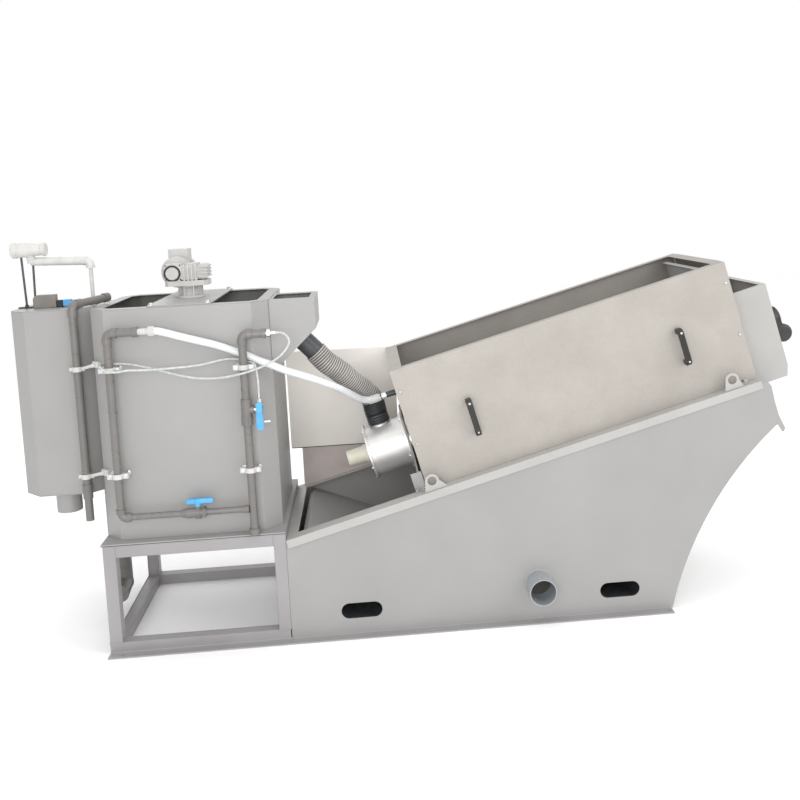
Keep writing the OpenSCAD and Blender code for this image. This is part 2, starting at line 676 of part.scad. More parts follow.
// Open box that catches the cake at the end of the drum and drops it on the chute
module discharge_box() {
  w = box_w / 2;
  t = 3;
  color("lightgrey") tilted() difference() {
    upright(-w, 2 * w) polygon([[box_u0, box_n1], [box_u1, box_n1], [box_u1, box_n0 + 46],
      [box_u1 - 14, box_n0], [box_u0 + 34, box_n0], [box_u0, box_n0 + 44]]);
    upright(-w + t, 2 * (w - t)) polygon([[box_u0 + t, box_n1 - t], [box_u1 - t, box_n1 - t],
      [box_u1 - t, box_n0 + 47], [box_u1 - 18, box_n0 - 1], [box_u0 + 38, box_n0 - 1],
      [box_u0 + t, box_n0 + 45]]);
    translate([box_u0 + 20, -w + 20, box_n1 - 10]) cube([box_l - 40, 2 * w - 40, 20]);
    translate([box_u0 - 1, 0, 0]) rotate([0, 90, 0]) cylinder(d = screw_d + 4, h = t + 2, $fn = 48);
    translate([box_u1 - t - 1, 0, 0]) rotate([0, 90, 0]) cylinder(d = shaft_d + 2 * gap, h = t + 2, $fn = 48);
    translate([box_u0 + box_l / 2, w - t - 1, 60]) rotate([-90, 0, 0]) cylinder(d = 38, h = t + 2, $fn = 32);
  }
}
// Gearbox of the screw drive: bell on the box, helical stage lying across below it
module drive_gearbox() {
  color("dimgrey") tilted() {
    translate([box_u1, 0, 0]) rotate([0, 90, 0]) rotate_extrude($fn = 48)
      polygon([[0, 0], [95, 0], [95, 15], [72, 18], [60, 52], [50, 80], [42, 88], [0, 88]]);
    for (a = [30 : 60 : 359]) translate([box_u1, 0, 0]) rotate([a, 0, 0]) upright(-4, 8)
      polygon([[14, 50], [14, 88], [24, 88], [80, 54], [80, 40]]);
    translate([box_u1 + 18, -70, -92]) cube([58, 140, 92]);
    translate([box_u1 + 71, 78, -65]) rotate([90, 0, 0]) rotate_extrude($fn = 40)
      polygon([[0, 0], [40, 0], [40, 144], [36, 150], [26, 152], [0, 152]]);
  }
}
// Geared motor that lies across behind the discharge box
module gear_motor() {
  color("dimgrey") tilted() translate([box_u1 + 71, 78, -65]) rotate([-90, 0, 0]) {
    cylinder(d = 104, h = 46, $fn = 40);
    translate([0, 0, 46]) motor(118, 220);
    translate([20, -44, 90]) cube([66, 88, 84]);
  }
}
// Spray pipe through the end of the cover, run above the ring stack
module spray_pipe() {
  color("silver") tilted() translate([spray_u0, spray_y, spray_n]) rotate([0, 90, 0]) {
    cylinder(d = spray_d, h = mid_u - spray_u0, $fn = 24);
    translate([0, 0, 4]) cylinder(d = spray_d + 8, h = 20, $fn = 24);
  }
}
// saddle clips that hold an upright pipe, with their spacer bolts to the tank wall
module clips(x, y0, y1, zs) {
  for (z = zs) {
    translate([x, y0, z]) cylinder(d = pipe_d + 10, h = 20, $fn = 32);
    bar([x - 41, y0 - pipe_d / 2 - 5, z], [x + 41, y0 - pipe_d / 2 + 4, z + 20]);
    for (s = [-26, 26]) rod([x + s, y0 - pipe_d / 2 - 10, z + 10], [x + s, y1, z + 10], 12);
  }
}
// Upright service pipe at the left
module left_riser() {
  color("grey") place() {
    x = riser_x[0];
    top = riser_top[0];
    rod([x, pipe_y, cross_z + 20], [x, pipe_y, top], pipe_d);
    elbow([x, pipe_y, top], [0, 0, -1], [1, 0, 0]);
    rod([x, pipe_y, top], [198, pipe_y, top], pipe_d);
    rod([198, pipe_y, top], [252 - 2 * gap, pipe_y, top], pipe_d - 7);
    clips(x, pipe_y, tank_y, clamp_z[0]);
  }
}
// Upright service pipe at the right with its tee and small valve body
module right_riser() {
  color("grey") place() {
    x = riser_x[1];
    top = riser_top[1];
    rod([x, pipe_y, tank_z], [x, pipe_y, top], pipe_d);
    elbow([x, pipe_y, top], [0, 0, -1], [1, 0, 0]);
    rod([x, pipe_y, top], [691, pipe_y, top], pipe_d);
    rod([691, pipe_y, top], [733 - 2 * gap, pipe_y, top], pipe_d - 14);
    rod([701, pipe_y, top], [713, pipe_y, top], pipe_d - 6, 16);
    rod([x, pipe_y, branch_z - 62], [x, pipe_y, branch_z + 42], pipe_d + 10);
    rod([x, pipe_y, branch_z - 62], [x, pipe_y, branch_z - 22], pipe_d + 16, 16);
    rod([x, pipe_y, branch_z], [small_x, pipe_y, branch_z], 18);
    rod([small_x, pipe_y, branch_z - 50], [small_x, pipe_y, 1020 - gap], 14);
    rod([small_x, pipe_y, branch_z - 42], [small_x + 38, pipe_y, branch_z - 66], 12);
    rod([small_x, pipe_y, branch_z - 24], [small_x, pipe_y, branch_z + 24], 26);
    rod([small_x, pipe_y - 16, branch_z], [small_x, pipe_y, branch_z], 10);
    rod([x, pipe_y, tank_z], [x, pipe_y, tank_z + 24], pipe_d + 10);
    clips(x, pipe_y, tank_y, clamp_z[1]);
  }
}
// Cross pipe with its tees and the body of the ball valve
module cross_pipe() {
  a = valve_x[0];
  b = valve_x[1];
  color("grey") place() {
    elbow([riser_x[0], pipe_y, cross_z], [0, 0, 0.58], [1, 0, 0]);
    rod([riser_x[0], pipe_y, cross_z], [riser_x[1] - pipe_d / 2 - gap, pipe_y, cross_z], cross_d);
    rod([riser_x[1] - 46, pipe_y, cross_z], [riser_x[1] - pipe_d / 2 - gap, pipe_y, cross_z], cross_d + 7);
    rod([a, pipe_y, cross_z], [b, pipe_y, cross_z], valve_d);
    rod([a - 14, pipe_y, cross_z], [b + 14, pipe_y, cross_z], valve_d - 8);
    rod([384, pipe_y, cross_z], [384, pipe_y, valve_top], 22);
  }
}
// Blue lever of the lower ball valve
module valve_lever_low() {
  color("steelblue") place() translate([384, pipe_y, valve_top + gap]) {
    cylinder(d = 24, h = 14, $fn = 24);
    translate([0, 0, 12]) linear_extrude(18) union() {
      circle(d = 26, $fn = 24);
      polygon([[-43, -5], [-36, -8], [0, -9], [52, -8], [60, -5], [60, 5], [52, 8], [0, 9], [-36, 8], [-43, 5]]);
    }
  }
}
// Blue lever of the small valve on the right riser
module valve_lever_high() {
  color("steelblue") place() translate([small_x, pipe_y - 16 - gap, branch_z]) rotate([90, 0, 0]) {
    cylinder(d = 16, h = 9, $fn = 24);
    translate([0, 0, 3]) linear_extrude(6) union() {
      circle(d = 26, $fn = 24);
      polygon([[-9, 29], [-14, 24], [-11, 0], [-14, -40], [-13, -74], [-7, -80], [7, -80], [13, -74],
        [14, -40], [11, 0], [14, 24], [9, 29]]);
    }
  }
}
// clip round the pipe at a with an arm to the chamfer of the flocculation tank
module hanger(a, z, rise) {
  foot = [20, tank_y + tank_ch - 20, z + 10 + rise];
  translate([a[0], a[1], z]) cylinder(d = pipe_d + 8, h = 20, $fn = 32);
  for (s = [-1, 1]) bar([a[0] + s * 24 - 7, a[1] - 4, z + 2], [a[0] + s * 24 + 7, a[1] + 4, z + 18]);
  rod([a[0] + 15, a[1], z + 10], foot - [7, 7, 0], 18);
  translate(foot) rotate(-45) translate([-20, -14 - gap, -12]) cube([40, 14, 24]);
}
// Overflow pipe beside the metering tank, led over the corner of the flocculation tank
module overflow_pipe() {
  a = [-72, 124, 1397];
  b = [20, 309, 1406];
  color("grey") place() {
    rod([a[0], a[1], 517], a, pipe_d);
    translate(a) sphere(d = pipe_d + 8, $fn = 24);
    rod(a - [0, 0, 34], a, pipe_d + 8);
    rod(a, b, pipe_d);
    rod(b - (b - a) * 0.12, b, pipe_d + 8);
    for (z = [690, 1129]) hanger(a, z, 20);
  }
}
// Wall of the metering tank
module metering_tank() {
  color("lightgrey") place() translate([-meter_l, meter_y, meter_z])
    tube_shell(meter_l, meter_w, meter_ch, wall, meter_h);
}
// Rim of the metering tank with the shelf at its front
module metering_rim() {
  color("lightgrey") place() translate([-meter_l, meter_y, tank_top]) linear_extrude(wall) difference() {
    chamfered(meter_l, meter_w, meter_ch);
    translate([meter_rim, meter_shelf])
      chamfered(meter_l - 2 * meter_rim, meter_w - meter_shelf - meter_rim, meter_ch / 6);
  }
}
// Level switch on the edge of the shelf
module level_switch() {
  color("dimgrey") place() translate([-268, 0, tank_top + wall + gap])
    upright(meter_y + meter_shelf - 23, 30) polygon([[0, 0], [92, 0], [92, 54], [17, 54], [9, 51], [3, 45], [0, 37]]);
}
// Floor of the metering tank with its outlet stub
module metering_floor() {
  color("lightgrey") place() {
    translate([-meter_l, meter_y, meter_z - 4]) linear_extrude(4) difference() {
      chamfered(meter_l, meter_w, meter_ch);
      translate([meter_l / 2 - 8, 78]) circle(d = 92, $fn = 32);
    }
    translate([-meter_l / 2 - 8, meter_y + 78, meter_z - 88]) rotate_extrude($fn = 32)
      translate([46, 0]) square([4, 84]);
  }
}
// Level pipe above the metering tank: valve head, cross bar and its posts
module metering_pipe() {
  color("white") place() {
    rod([-272, bar_y, bar_z + 8], [-36, bar_y, bar_z], 36);
    translate([-36, bar_y, bar_z]) sphere(d = 40, $fn = 24);
    rod([-36, bar_y, bar_z], [-36, bar_y, meter_z + 300], 16);
    translate([-345, bar_y, bar_z + 56]) rotate([0, 90, 0]) rotate_extrude($fn = 32)
      polygon([[0, 0], [33, 0], [33, 12], [28, 14], [28, 96], [33, 98], [33, 136], [0, 136]]);
    rod([-272, bar_y, bar_z + 8], [-272, bar_y, bar_z + 40], 30);
    for (x = [[-311, -305], [-265, -270]])
      rod([x[1], bar_y, tank_top + 6], [x[0], bar_y, bar_z + 30], 10, 16);
    bar([-meter_l + 3, bar_y - 6, tank_top + wall + gap], [-258, bar_y + 18, tank_top + wall + 6]);
  }
}
// Control cabinet on its wedge shaped plinth on the far rim
module control_cabinet() {
  y = base_w - 40;
  x0 = 703;
  x1 = 1210;
  z0 = 612;
  color("lightgrey") place() {
    upright(y, 160) polygon([[x0, z0], [x1, z0], [x1, 1070], [x0 + 34, 1070], [x0 + 10, 1060], [x0, 1036]]);
    upright(y + 4, 30) polygon([[x0 + 50, rim_z(x0 + 50) + gap], [x1 - 130, rim_z(x1 - 130) + gap],
      [x1 - 130, z0], [x0 + 50, z0]]);
  }
}
// Return pipe that falls from the metering tank beside the stand
module return_pipe() {
  p = [return_x, return_y, 112];
  color("grey") place() {
    rod(p, [return_x, return_y, meter_z - 4], return_d);
    translate(p) sphere(d = return_d + 4, $fn = 32);
    rod(p, [return_x, return_y - 84, 92], return_d);
  }
}
// White hose to the spray pipe
module spray_hose() {
  p = even(smooth(spray_path, 4), 34);
  color("white") place() sweep(p, [for (q = p) 15], 10);
}
// Thin braided hose looped behind the risers
module sample_hose() {
  p = even(smooth(sample_path, 4), 78);
  color("gainsboro") place() sweep(p, [for (q = p) 4.5], 8);
}

base_rail_front();
base_rail_rear();
tank_stand();
front_plate();
rear_plate();
body_left_wall();
body_floor();
body_end_wall();
spout_wall();
cake_chute();
hopper_floor();
fork_pocket_left();
fork_pocket_right();
rim_front();
rim_rear();
rim_left();
drain_pipe();
floc_tank_floor();
floc_tank_shell();
floc_tank_top();
mixer_bridge();
mixer_gearbox();
mixer_motor();
mixer_shaft();
outlet_box();
inlet_hose();
inlet_casing();
drain_cap();
drum_rings();
screw_shaft();
tie_rods();
drum_support_left();
drum_support_right();
cover_front();
cover_rear();
cover_left_end();
cover_right_end();
cover_handles();
lugs_front();
lugs_rear();
discharge_box();
drive_gearbox();
gear_motor();
spray_pipe();
left_riser();
right_riser();
cross_pipe();
valve_lever_low();
valve_lever_high();
overflow_pipe();
metering_tank();
metering_rim();
metering_floor();
metering_pipe();
level_switch();
control_cabinet();
return_pipe();
spray_hose();
sample_hose();
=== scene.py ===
import json
import math

import bmesh
import bpy
from mathutils import Matrix, Vector, noise

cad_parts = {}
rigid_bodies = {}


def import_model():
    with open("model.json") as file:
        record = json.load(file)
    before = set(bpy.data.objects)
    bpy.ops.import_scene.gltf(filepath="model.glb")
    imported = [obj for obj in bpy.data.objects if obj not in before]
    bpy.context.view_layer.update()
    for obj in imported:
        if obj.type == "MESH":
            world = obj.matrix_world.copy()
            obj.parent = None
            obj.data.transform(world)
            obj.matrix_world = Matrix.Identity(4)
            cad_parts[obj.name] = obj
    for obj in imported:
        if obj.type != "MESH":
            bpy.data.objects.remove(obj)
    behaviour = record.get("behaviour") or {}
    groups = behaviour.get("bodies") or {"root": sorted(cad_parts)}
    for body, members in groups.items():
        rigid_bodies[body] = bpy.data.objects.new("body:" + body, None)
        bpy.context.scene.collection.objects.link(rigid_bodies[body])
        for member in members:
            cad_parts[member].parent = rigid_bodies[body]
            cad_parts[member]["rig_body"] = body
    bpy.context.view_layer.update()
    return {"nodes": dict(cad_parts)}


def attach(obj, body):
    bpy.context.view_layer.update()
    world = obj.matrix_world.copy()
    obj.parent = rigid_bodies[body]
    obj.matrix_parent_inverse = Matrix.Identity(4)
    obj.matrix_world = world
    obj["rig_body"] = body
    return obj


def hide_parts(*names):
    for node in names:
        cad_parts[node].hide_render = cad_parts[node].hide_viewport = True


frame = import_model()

nodes = frame["nodes"]
print("frame loaded,", len(nodes), "nodes")

# Sizes are in mm on the machine: x from the inlet end of the base, y from its front face, z from the floor
base = {"length": 2290, "width": 740}
drum = {"x": 1090, "z": 661, "tilt": 15, "coverWidth": 640, "boxEnd": 1810, "casing": 216, "rim": -142}
tank = {"y": 50, "floor": 450, "middle": (351, 370)}

machineFrame = Matrix.Translation((-base["length"] / 2000, -base["width"] / 2000, 0)) @ Matrix.Scale(0.001, 4)
# along the drum, across it from its middle, and square to both
drumFrame = (machineFrame @ Matrix.Translation((drum["x"], base["width"] / 2, drum["z"]))
             @ Matrix.Rotation(math.radians(-drum["tilt"]), 4, "Y"))


def inMachine(point):  # mm on the machine to metres in the row frame
    return machineFrame @ Vector(point)


def onDrum(u, y, n):  # mm along the drum to mm on the machine
    return machineFrame.inverted() @ drumFrame @ Vector((u, y, n))


# camera: the photograph's place, angle and framing
photo = {"size": 800, "focal": 946.57, "centre": (438.54, 296.91),
         "yaw": -0.0747, "pitch": 0.1022, "roll": -0.048, "eye": (1101.24, -3716.46, 1743.40)}


def addCamera():
    yaw, pitch, roll = photo["yaw"], photo["pitch"], photo["roll"]
    ahead = Vector((-math.sin(yaw) * math.cos(pitch), math.cos(yaw) * math.cos(pitch), -math.sin(pitch)))
    level = Vector((math.cos(yaw), math.sin(yaw), 0))
    above = level.cross(ahead)
    right = level * math.cos(roll) + above * math.sin(roll)
    up = above * math.cos(roll) - level * math.sin(roll)
    data = bpy.data.cameras.new("photoCamera")
    data.sensor_width = 36
    data.lens = photo["focal"] / photo["size"] * 36
    data.shift_x = 0.5 - photo["centre"][0] / photo["size"]
    data.shift_y = photo["centre"][1] / photo["size"] - 0.5
    data.clip_end = 60
    camera = bpy.data.objects.new("photoCamera", data)
    bpy.context.scene.collection.objects.link(camera)
    turn = Matrix((right, up, -ahead)).transposed().to_4x4()
    camera.matrix_world = Matrix.Translation(inMachine(photo["eye"])) @ turn
    bpy.context.scene.camera = camera


addCamera()
print("camera placed")


# finishes
def hexColour(code):  # sRGB hex to linear
    parts = [int(code[i:i + 2], 16) / 255 for i in (1, 3, 5)]
    return tuple(c / 12.92 if c <= 0.04045 else ((c + 0.055) / 1.055) ** 2.4 for c in parts) + (1,)


def addNode(tree, kind, links=None, inputs=None, **settings):
    node = tree.nodes.new(kind)
    for key, value in settings.items():
        setattr(node, key, value)
    for key, value in (inputs or {}).items():
        node.inputs[key].default_value = value
    for key, source in (links or {}).items():
        tree.links.new(source, node.inputs[key])
    return node


finishes = {}


# light and dark are the colours of the patches; patch, grain and the depth of the grain are in mm
def newFinish(name, light, dark, patch, rough, grain, depth, metal=0.0, ior=1.5, coat=0.0, stretch=(1, 1, 1)):
    material = bpy.data.materials.new(name)
    material.use_nodes = True
    tree = material.node_tree
    shader = tree.nodes["Principled BSDF"]
    place = addNode(tree, "ShaderNodeTexCoord").outputs["Object"]
    patches = addNode(tree, "ShaderNodeTexNoise", {"Vector": place},
                      {"Scale": 1000 / patch, "Detail": 4.0, "Roughness": 0.55}).outputs["Fac"]
    ramp = addNode(tree, "ShaderNodeValToRGB", {"Fac": patches})
    ramp.color_ramp.elements[0].position, ramp.color_ramp.elements[1].position = 0.3, 0.7
    ramp.color_ramp.elements[0].color, ramp.color_ramp.elements[1].color = hexColour(dark), hexColour(light)
    tree.links.new(ramp.outputs["Color"], shader.inputs["Base Color"])
    lines = addNode(tree, "ShaderNodeMapping", {"Vector": place}, {"Scale": stretch}).outputs["Vector"]
    streaks = addNode(tree, "ShaderNodeTexNoise", {"Vector": lines},
                      {"Scale": 1000 / (grain * 6), "Detail": 3.0}).outputs["Fac"]
    gloss = addNode(tree, "ShaderNodeMapRange", {"Value": streaks},
                    {"From Min": 0.3, "From Max": 0.7,
                     "To Min": rough[0], "To Max": rough[1]}).outputs["Result"]
    tree.links.new(gloss, shader.inputs["Roughness"])
    if depth:
        height = addNode(tree, "ShaderNodeTexNoise", {"Vector": lines},
                         {"Scale": 1000 / grain, "Detail": 2.0}).outputs["Fac"]
        bump = addNode(tree, "ShaderNodeBump", {"Height": height},
                       {"Strength": 1.0, "Distance": depth / 1000}).outputs["Normal"]
        tree.links.new(bump, shader.inputs["Normal"])
    shader.inputs["Metallic"].default_value = metal
    if not metal:
        shader.inputs["IOR"].default_value = ior
    if coat:
        shader.inputs["Coat Weight"].default_value = coat
        shader.inputs["Coat Roughness"].default_value = 0.2
    finishes[name] = material


# polyester powder coat, baked: even satin colour with the faint skin of an orange
newFinish("bodyPowderCoat", "#999897", "#929190", 420, (0.36, 0.48), 3.0, 0.012)
newFinish("standPowderCoat", "#989597", "#908d8f", 300, (0.36, 0.48), 3.0, 0.012)
newFinish("rimPowderCoat", "#acaaa7", "#a4a29f", 260, (0.32, 0.44), 3.0, 0.012)
# cold rolled stainless sheet, bead blasted: soft grey sheen with cloudy patches
newFinish("blastedStainless", "#aaa59f", "#a09b95", 180, (0.5, 0.64), 1.6, 0.006, metal=0.4)
# drawn stainless tube and turned rings: fine lines round the drum that stretch the light
newFinish("satinStainless", "#cfcfcd", "#bdbdbb", 90, (0.22, 0.36), 1.2, 0.005, metal=1.0, stretch=(8, 1, 1))
# the same stainless, paler and less metallic: painted sheen on the inlet casing and its collar
newFinish("sheenPaintedStainless", "#efeeec", "#dddcda", 90, (0.34, 0.46), 1.2, 0.005, metal=0.55)
# cast iron under machine enamel: brown black, slightly rough from the sand mould
newFinish("machineEnamel", "#2e2928", "#231f1e", 70, (0.38, 0.52), 2.4, 0.05, coat=0.3)
# die cast aluminium, painted white: pale satin skin
newFinish("whiteCastAluminium", "#c0bebb", "#b2b0ad", 60, (0.34, 0.5), 2.0, 0.03)
# unplasticised PVC, extruded: smooth warm or cool grey with a soft gloss
newFinish("greyPvc", "#73706d", "#6a6764", 120, (0.26, 0.36), 5.0, 0.01, ior=1.53)
newFinish("drainPvc", "#a0a5a8", "#90959a", 140, (0.3, 0.42), 5.0, 0.01, ior=1.53)
# spiral PVC hose, extruded: grey wall; the paler rib crests are painted highlight; dark at both ends, the
# smooth cuff at the port and painted shade on the last run into the casing
newFinish("spiralPvc", "#7e7a77", "#6b6865", 60, (0.3, 0.44), 3.0, 0.02, ior=1.53)
newFinish("ribHighlightPvc", "#b8b4b0", "#a5a19d", 60, (0.28, 0.4), 3.0, 0.02, ior=1.53)
newFinish("cuffAndShadePvc", "#414446", "#333537", 60, (0.3, 0.44), 3.0, 0.02, ior=1.53)
# the same powder coat, darker and duller: painted shade on the inside walls of the tanks
newFinish("paintedShadeInside", "#8b8a86", "#75746f", 160, (0.3, 0.6), 4.0, 0.05)
# switch housing, moulded: grey brown, matt
newFinish("greyBrownPlastic", "#7d7873", "#746f6a", 40, (0.4, 0.5), 2.0, 0.02, ior=1.53)
# soft PVC tube, extruded: white, or milky over a braid
newFinish("whiteVinyl", "#dddee0", "#d0d2d4", 90, (0.3, 0.4), 6.0, 0.01, ior=1.52)
newFinish("milkyVinyl", "#c6c8c5", "#a9aca9", 14, (0.25, 0.35), 3.0, 0.05, ior=1.52)
# glass filled nylon, moulded: brown black or sky blue with a low gloss
newFinish("blackNylon", "#241f1e", "#191615", 40, (0.28, 0.42), 1.5, 0.02, ior=1.53)
newFinish("blueNylon", "#56a8de", "#4698d0", 20, (0.3, 0.4), 1.5, 0.02, ior=1.53)
# polypropylene, moulded: cream or off white, waxy
newFinish("creamPolypropylene", "#e3e0d1", "#d9d5c3", 30, (0.34, 0.44), 2.0, 0.02, ior=1.49)
newFinish("whitePolypropylene", "#c8c7c4", "#bcbbb8", 40, (0.32, 0.42), 2.0, 0.02, ior=1.49)
# powder coat with a fine texture on the cabinet, and the primer of its plinth
newFinish("cabinetPowderCoat", "#f2ede7", "#ebe6df", 200, (0.42, 0.55), 1.8, 0.03)
newFinish("plinthPrimer", "#c9bfbb", "#bfb3ae", 90, (0.5, 0.62), 2.5, 0.02)
# zinc plated steel fasteners: bright, slightly uneven
newFinish("zincPlate", "#dcdddd", "#c4c6c8", 8, (0.22, 0.36), 1.0, 0.01, metal=1.0)
# synthetic rubber seal, moulded: matt black grey; the same black is also painted shade in the holes of the
# mixer and the bore of the level valve
newFinish("sealRubberAndShade", "#2c2d2e", "#212223", 20, (0.6, 0.75), 1.5, 0.03, ior=1.52)
# hot rolled steel, phosphated: dark grey with a dull sheen
newFinish("steelDark", "#55585a", "#3e4143", 30, (0.4, 0.55), 1.5, 0.01, metal=0.6)
print("finishes made:", len(finishes))


# steps that the pieces below share, in mm
def settle(bm, earlier, place):  # moves what was made since to its place
    bmesh.ops.transform(bm, matrix=place, verts=[v for v in bm.verts if v not in earlier])


def fromTo(a, b):
    a, b = Vector(a), Vector(b)
    return Matrix.Translation((a + b) / 2) @ (b - a).to_track_quat("Z", "Y").to_matrix().to_4x4()


def addRod(bm, a, b, width, segments=24, far=None):
    bmesh.ops.create_cone(bm, cap_ends=True, segments=segments, radius1=width / 2,
                          radius2=(width if far is None else far) / 2,
                          depth=(Vector(b) - Vector(a)).length, matrix=fromTo(a, b))


def addBlock(bm, low, high):
    low, high = Vector(low), Vector(high)
    bmesh.ops.create_cube(bm, size=1,
                          matrix=Matrix.Translation((low + high) / 2) @ Matrix.Diagonal((*(high - low), 1)))


def addTurned(bm, outline, place, steps=32):  # outline of radius and height, spun round z
    earlier = set(bm.verts)
    rims = [bm.verts.new((r, 0, z)) for r, z in outline]
    lines = [bm.edges.new(pair) for pair in zip(rims, rims[1:])]
    bmesh.ops.spin(bm, geom=rims + lines, cent=(0, 0, 0), axis=(0, 0, 1), angle=2 * math.pi, steps=steps,
                   use_merge=True)
    bmesh.ops.remove_doubles(bm, verts=[v for v in bm.verts if v not in earlier], dist=0.001)
    settle(bm, earlier, place)


def addPlate(bm, outline, thickness, place=Matrix()):  # outline in x and y, raised along z
    earlier = set(bm.verts)
    face = bm.faces.new([bm.verts.new((x, y, 0)) for x, y in outline])
    grown = bmesh.ops.extrude_face_region(bm, geom=[face])["geom"]
    bmesh.ops.translate(bm, vec=(0, 0, thickness),
                        verts=[g for g in grown if isinstance(g, bmesh.types.BMVert)])
    settle(bm, earlier, place)


def addElbow(bm, corner, first, second, width, socket, reach):
    corner, first, second = Vector(corner), Vector(first), Vector(second)
    bend = width * 0.62
    turn = first.to_track_quat("Z", "Y").to_matrix().to_4x4()
    ring = bmesh.ops.create_circle(bm, segments=28, radius=width / 2, cap_ends=True,
                                   matrix=Matrix.Translation(corner + first * bend) @ turn)["verts"]
    rim = list({e for v in ring for e in v.link_edges})
    last = bmesh.ops.spin(bm, geom=ring + rim, cent=corner + (first + second) * bend,
                          axis=second.cross(first), angle=math.pi / 2, steps=8)["geom_last"]
    bmesh.ops.contextual_create(bm, geom=[g for g in last if isinstance(g, bmesh.types.BMEdge)])
    for way in (first, second):
        addRod(bm, corner + way * bend * 0.9, corner + way * reach, socket, 28)


def addBolt(bm, spot, way, across=13, washer=20, head=6):  # hexagon head on a washer
    spot, way = Vector(spot), Vector(way).normalized()
    addRod(bm, spot - way * 0.5, spot + way * 1.6, washer, 20)
    addRod(bm, spot + way * 1.6, spot + way * (1.6 + head * 0.8), across * 1.15, 6)
    addRod(bm, spot + way * (1.6 + head * 0.8), spot + way * (1.6 + head), across * 1.12, 6, across * 0.86)


def addScrew(bm, spot, way, width=12):  # low round head with a dimple
    turn = Vector(way).to_track_quat("Z", "Y").to_matrix().to_4x4()
    outline = [(0, -0.5), (width / 2, -0.5), (width / 2, 1), (width * 0.42, 3), (width * 0.22, 4),
               (width * 0.2, 2.4), (0, 2.2)]
    addTurned(bm, outline, Matrix.Translation(spot) @ turn, 18)


def addTube(bm, path, widths, sides):  # round rings along a path, joined to a closed tube
    last = len(path) - 1
    side, rings = (path[1] - path[0]).orthogonal(), []
    for i, spot in enumerate(path):
        ahead = (path[min(i + 1, last)] - path[max(i - 1, 0)]).normalized()
        side = (side - side.dot(ahead) * ahead).normalized()
        turn = Matrix((side, ahead.cross(side), ahead)).transposed().to_4x4()
        ring = bmesh.ops.create_circle(bm, segments=sides, radius=widths[i] / 2, cap_ends=i in (0, last),
                                       matrix=Matrix.Translation(spot) @ turn)["verts"]
        rings.append(list({e for v in ring for e in v.link_edges}))
    for near, far in zip(rings, rings[1:]):
        bmesh.ops.bridge_loops(bm, edges=near + far)


def addBead(bm, a, b, width):  # weld bead: a rod of uneven thickness
    a, b = Vector(a), Vector(b)
    steps = max(4, int((b - a).length / 9))
    path = [a.lerp(b, k / steps) for k in range(steps + 1)]
    addTube(bm, path, [width * (1 + 0.24 * noise.noise(spot / 6)) for spot in path], 8)


def newPiece(name, bm, place, finish, replaced=(), body="machine", soften=0.0, corner=35):
    bmesh.ops.recalc_face_normals(bm, faces=bm.faces)
    bmesh.ops.transform(bm, matrix=place, verts=bm.verts)
    mesh = bpy.data.meshes.new(name)
    bm.to_mesh(mesh)
    bm.free()
    mesh.shade_smooth()
    mesh.set_sharp_from_angle(angle=math.radians(corner))
    piece = bpy.data.objects.new(name, mesh)
    bpy.context.scene.collection.objects.link(piece)
    mesh.materials.append(finishes[finish])
    if soften:
        addSoftEdges(piece, soften)
    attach(piece, body)
    if replaced:
        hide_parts(*replaced)
    return piece


def addSoftEdges(piece, width):  # width in mm
    edge = piece.modifiers.new("softEdges", "BEVEL")
    edge.width = width / 1000
    edge.segments = 2
    edge.limit_method = "ANGLE"
    edge.angle_limit = math.radians(32)
    edge.harden_normals = True
    edge.use_clamp_overlap = True


def dressNode(name, finish, soften=0.0):
    node = nodes[name]
    if not soften:
        node.data.materials.clear()
        node.data.materials.append(finishes[finish])
        return node
    bm = bmesh.new()
    bm.from_mesh(node.data)
    bmesh.ops.remove_doubles(bm, verts=bm.verts, dist=0.00002)
    bmesh.ops.dissolve_limit(bm, angle_limit=math.radians(0.4), verts=bm.verts, edges=bm.edges)
    pieceName = "".join([part.capitalize() if k else part for k, part in enumerate(name.split("_"))])
    return newPiece(pieceName, bm, Matrix(), finish, (name,), node["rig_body"], soften)


def paintShadeInside(piece, middle, finish):  # a second finish on the faces that look at the middle of a tank
    piece.data.materials.append(finishes[finish])
    heart = inMachine((*middle, 0)).xy
    for face in piece.data.polygons:
        if abs(face.normal.z) < 0.5 and face.normal.xy.dot(heart - face.center.xy) > 0:
            face.material_index = 1


# cords first: the two hoses on the service side
sprayHose = {"width": 30, "points": [
    (252, 2, 1290), (264, 2, 1290), (282, 2, 1288), (308, 2, 1281), (364, 6, 1262), (419, 12, 1244),
    (474, 20, 1226), (519, 27, 1209), (584, 34, 1181), (614, 34, 1168), (653, 34, 1147), (703, 36, 1125),
    (754, 44, 1099), (813, 64, 1072), (867, 95, 1045), (955, 160, 992), (1012, 218, 946), (1052, 258, 916),
    tuple(onDrum(68, -95, 238)), tuple(onDrum(107.4, -95, 238))]}
sampleHose = {"width": 9, "points": [
    (733, 2, 1256), (745, 2, 1256), (767, -4, 1250), (784, -10, 1227), (778, -16, 1202), (756, -22, 1175),
    (729, -28, 1155), (693, -32, 1137), (658, -32, 1124), (623, -32, 1114), (588, -32, 1106),
    (518, -24, 1095), (432, -16, 1096), (363, -8, 1109), (297, 2, 1127), (218, 20, 1148), (151, 32, 1162),
    (101, 33, 1165), (62, 30, 1167), (51, 6, 1166), (58, -20, 1164), (78, -32, 1150), (117, -34, 1142),
    (160, -30, 1146), (243, -20, 1142), (337, -14, 1143), (432, 2, 1146), (515, 22, 1158), (553, 32, 1158),
    (585, 31, 1153), (612, 30, 1144), (630, 18, 1141), (642, 12, 1134), (647, 10, 1112), (650, 8, 1085),
    (652, 4, 1055), (651, 2, 1020)]}


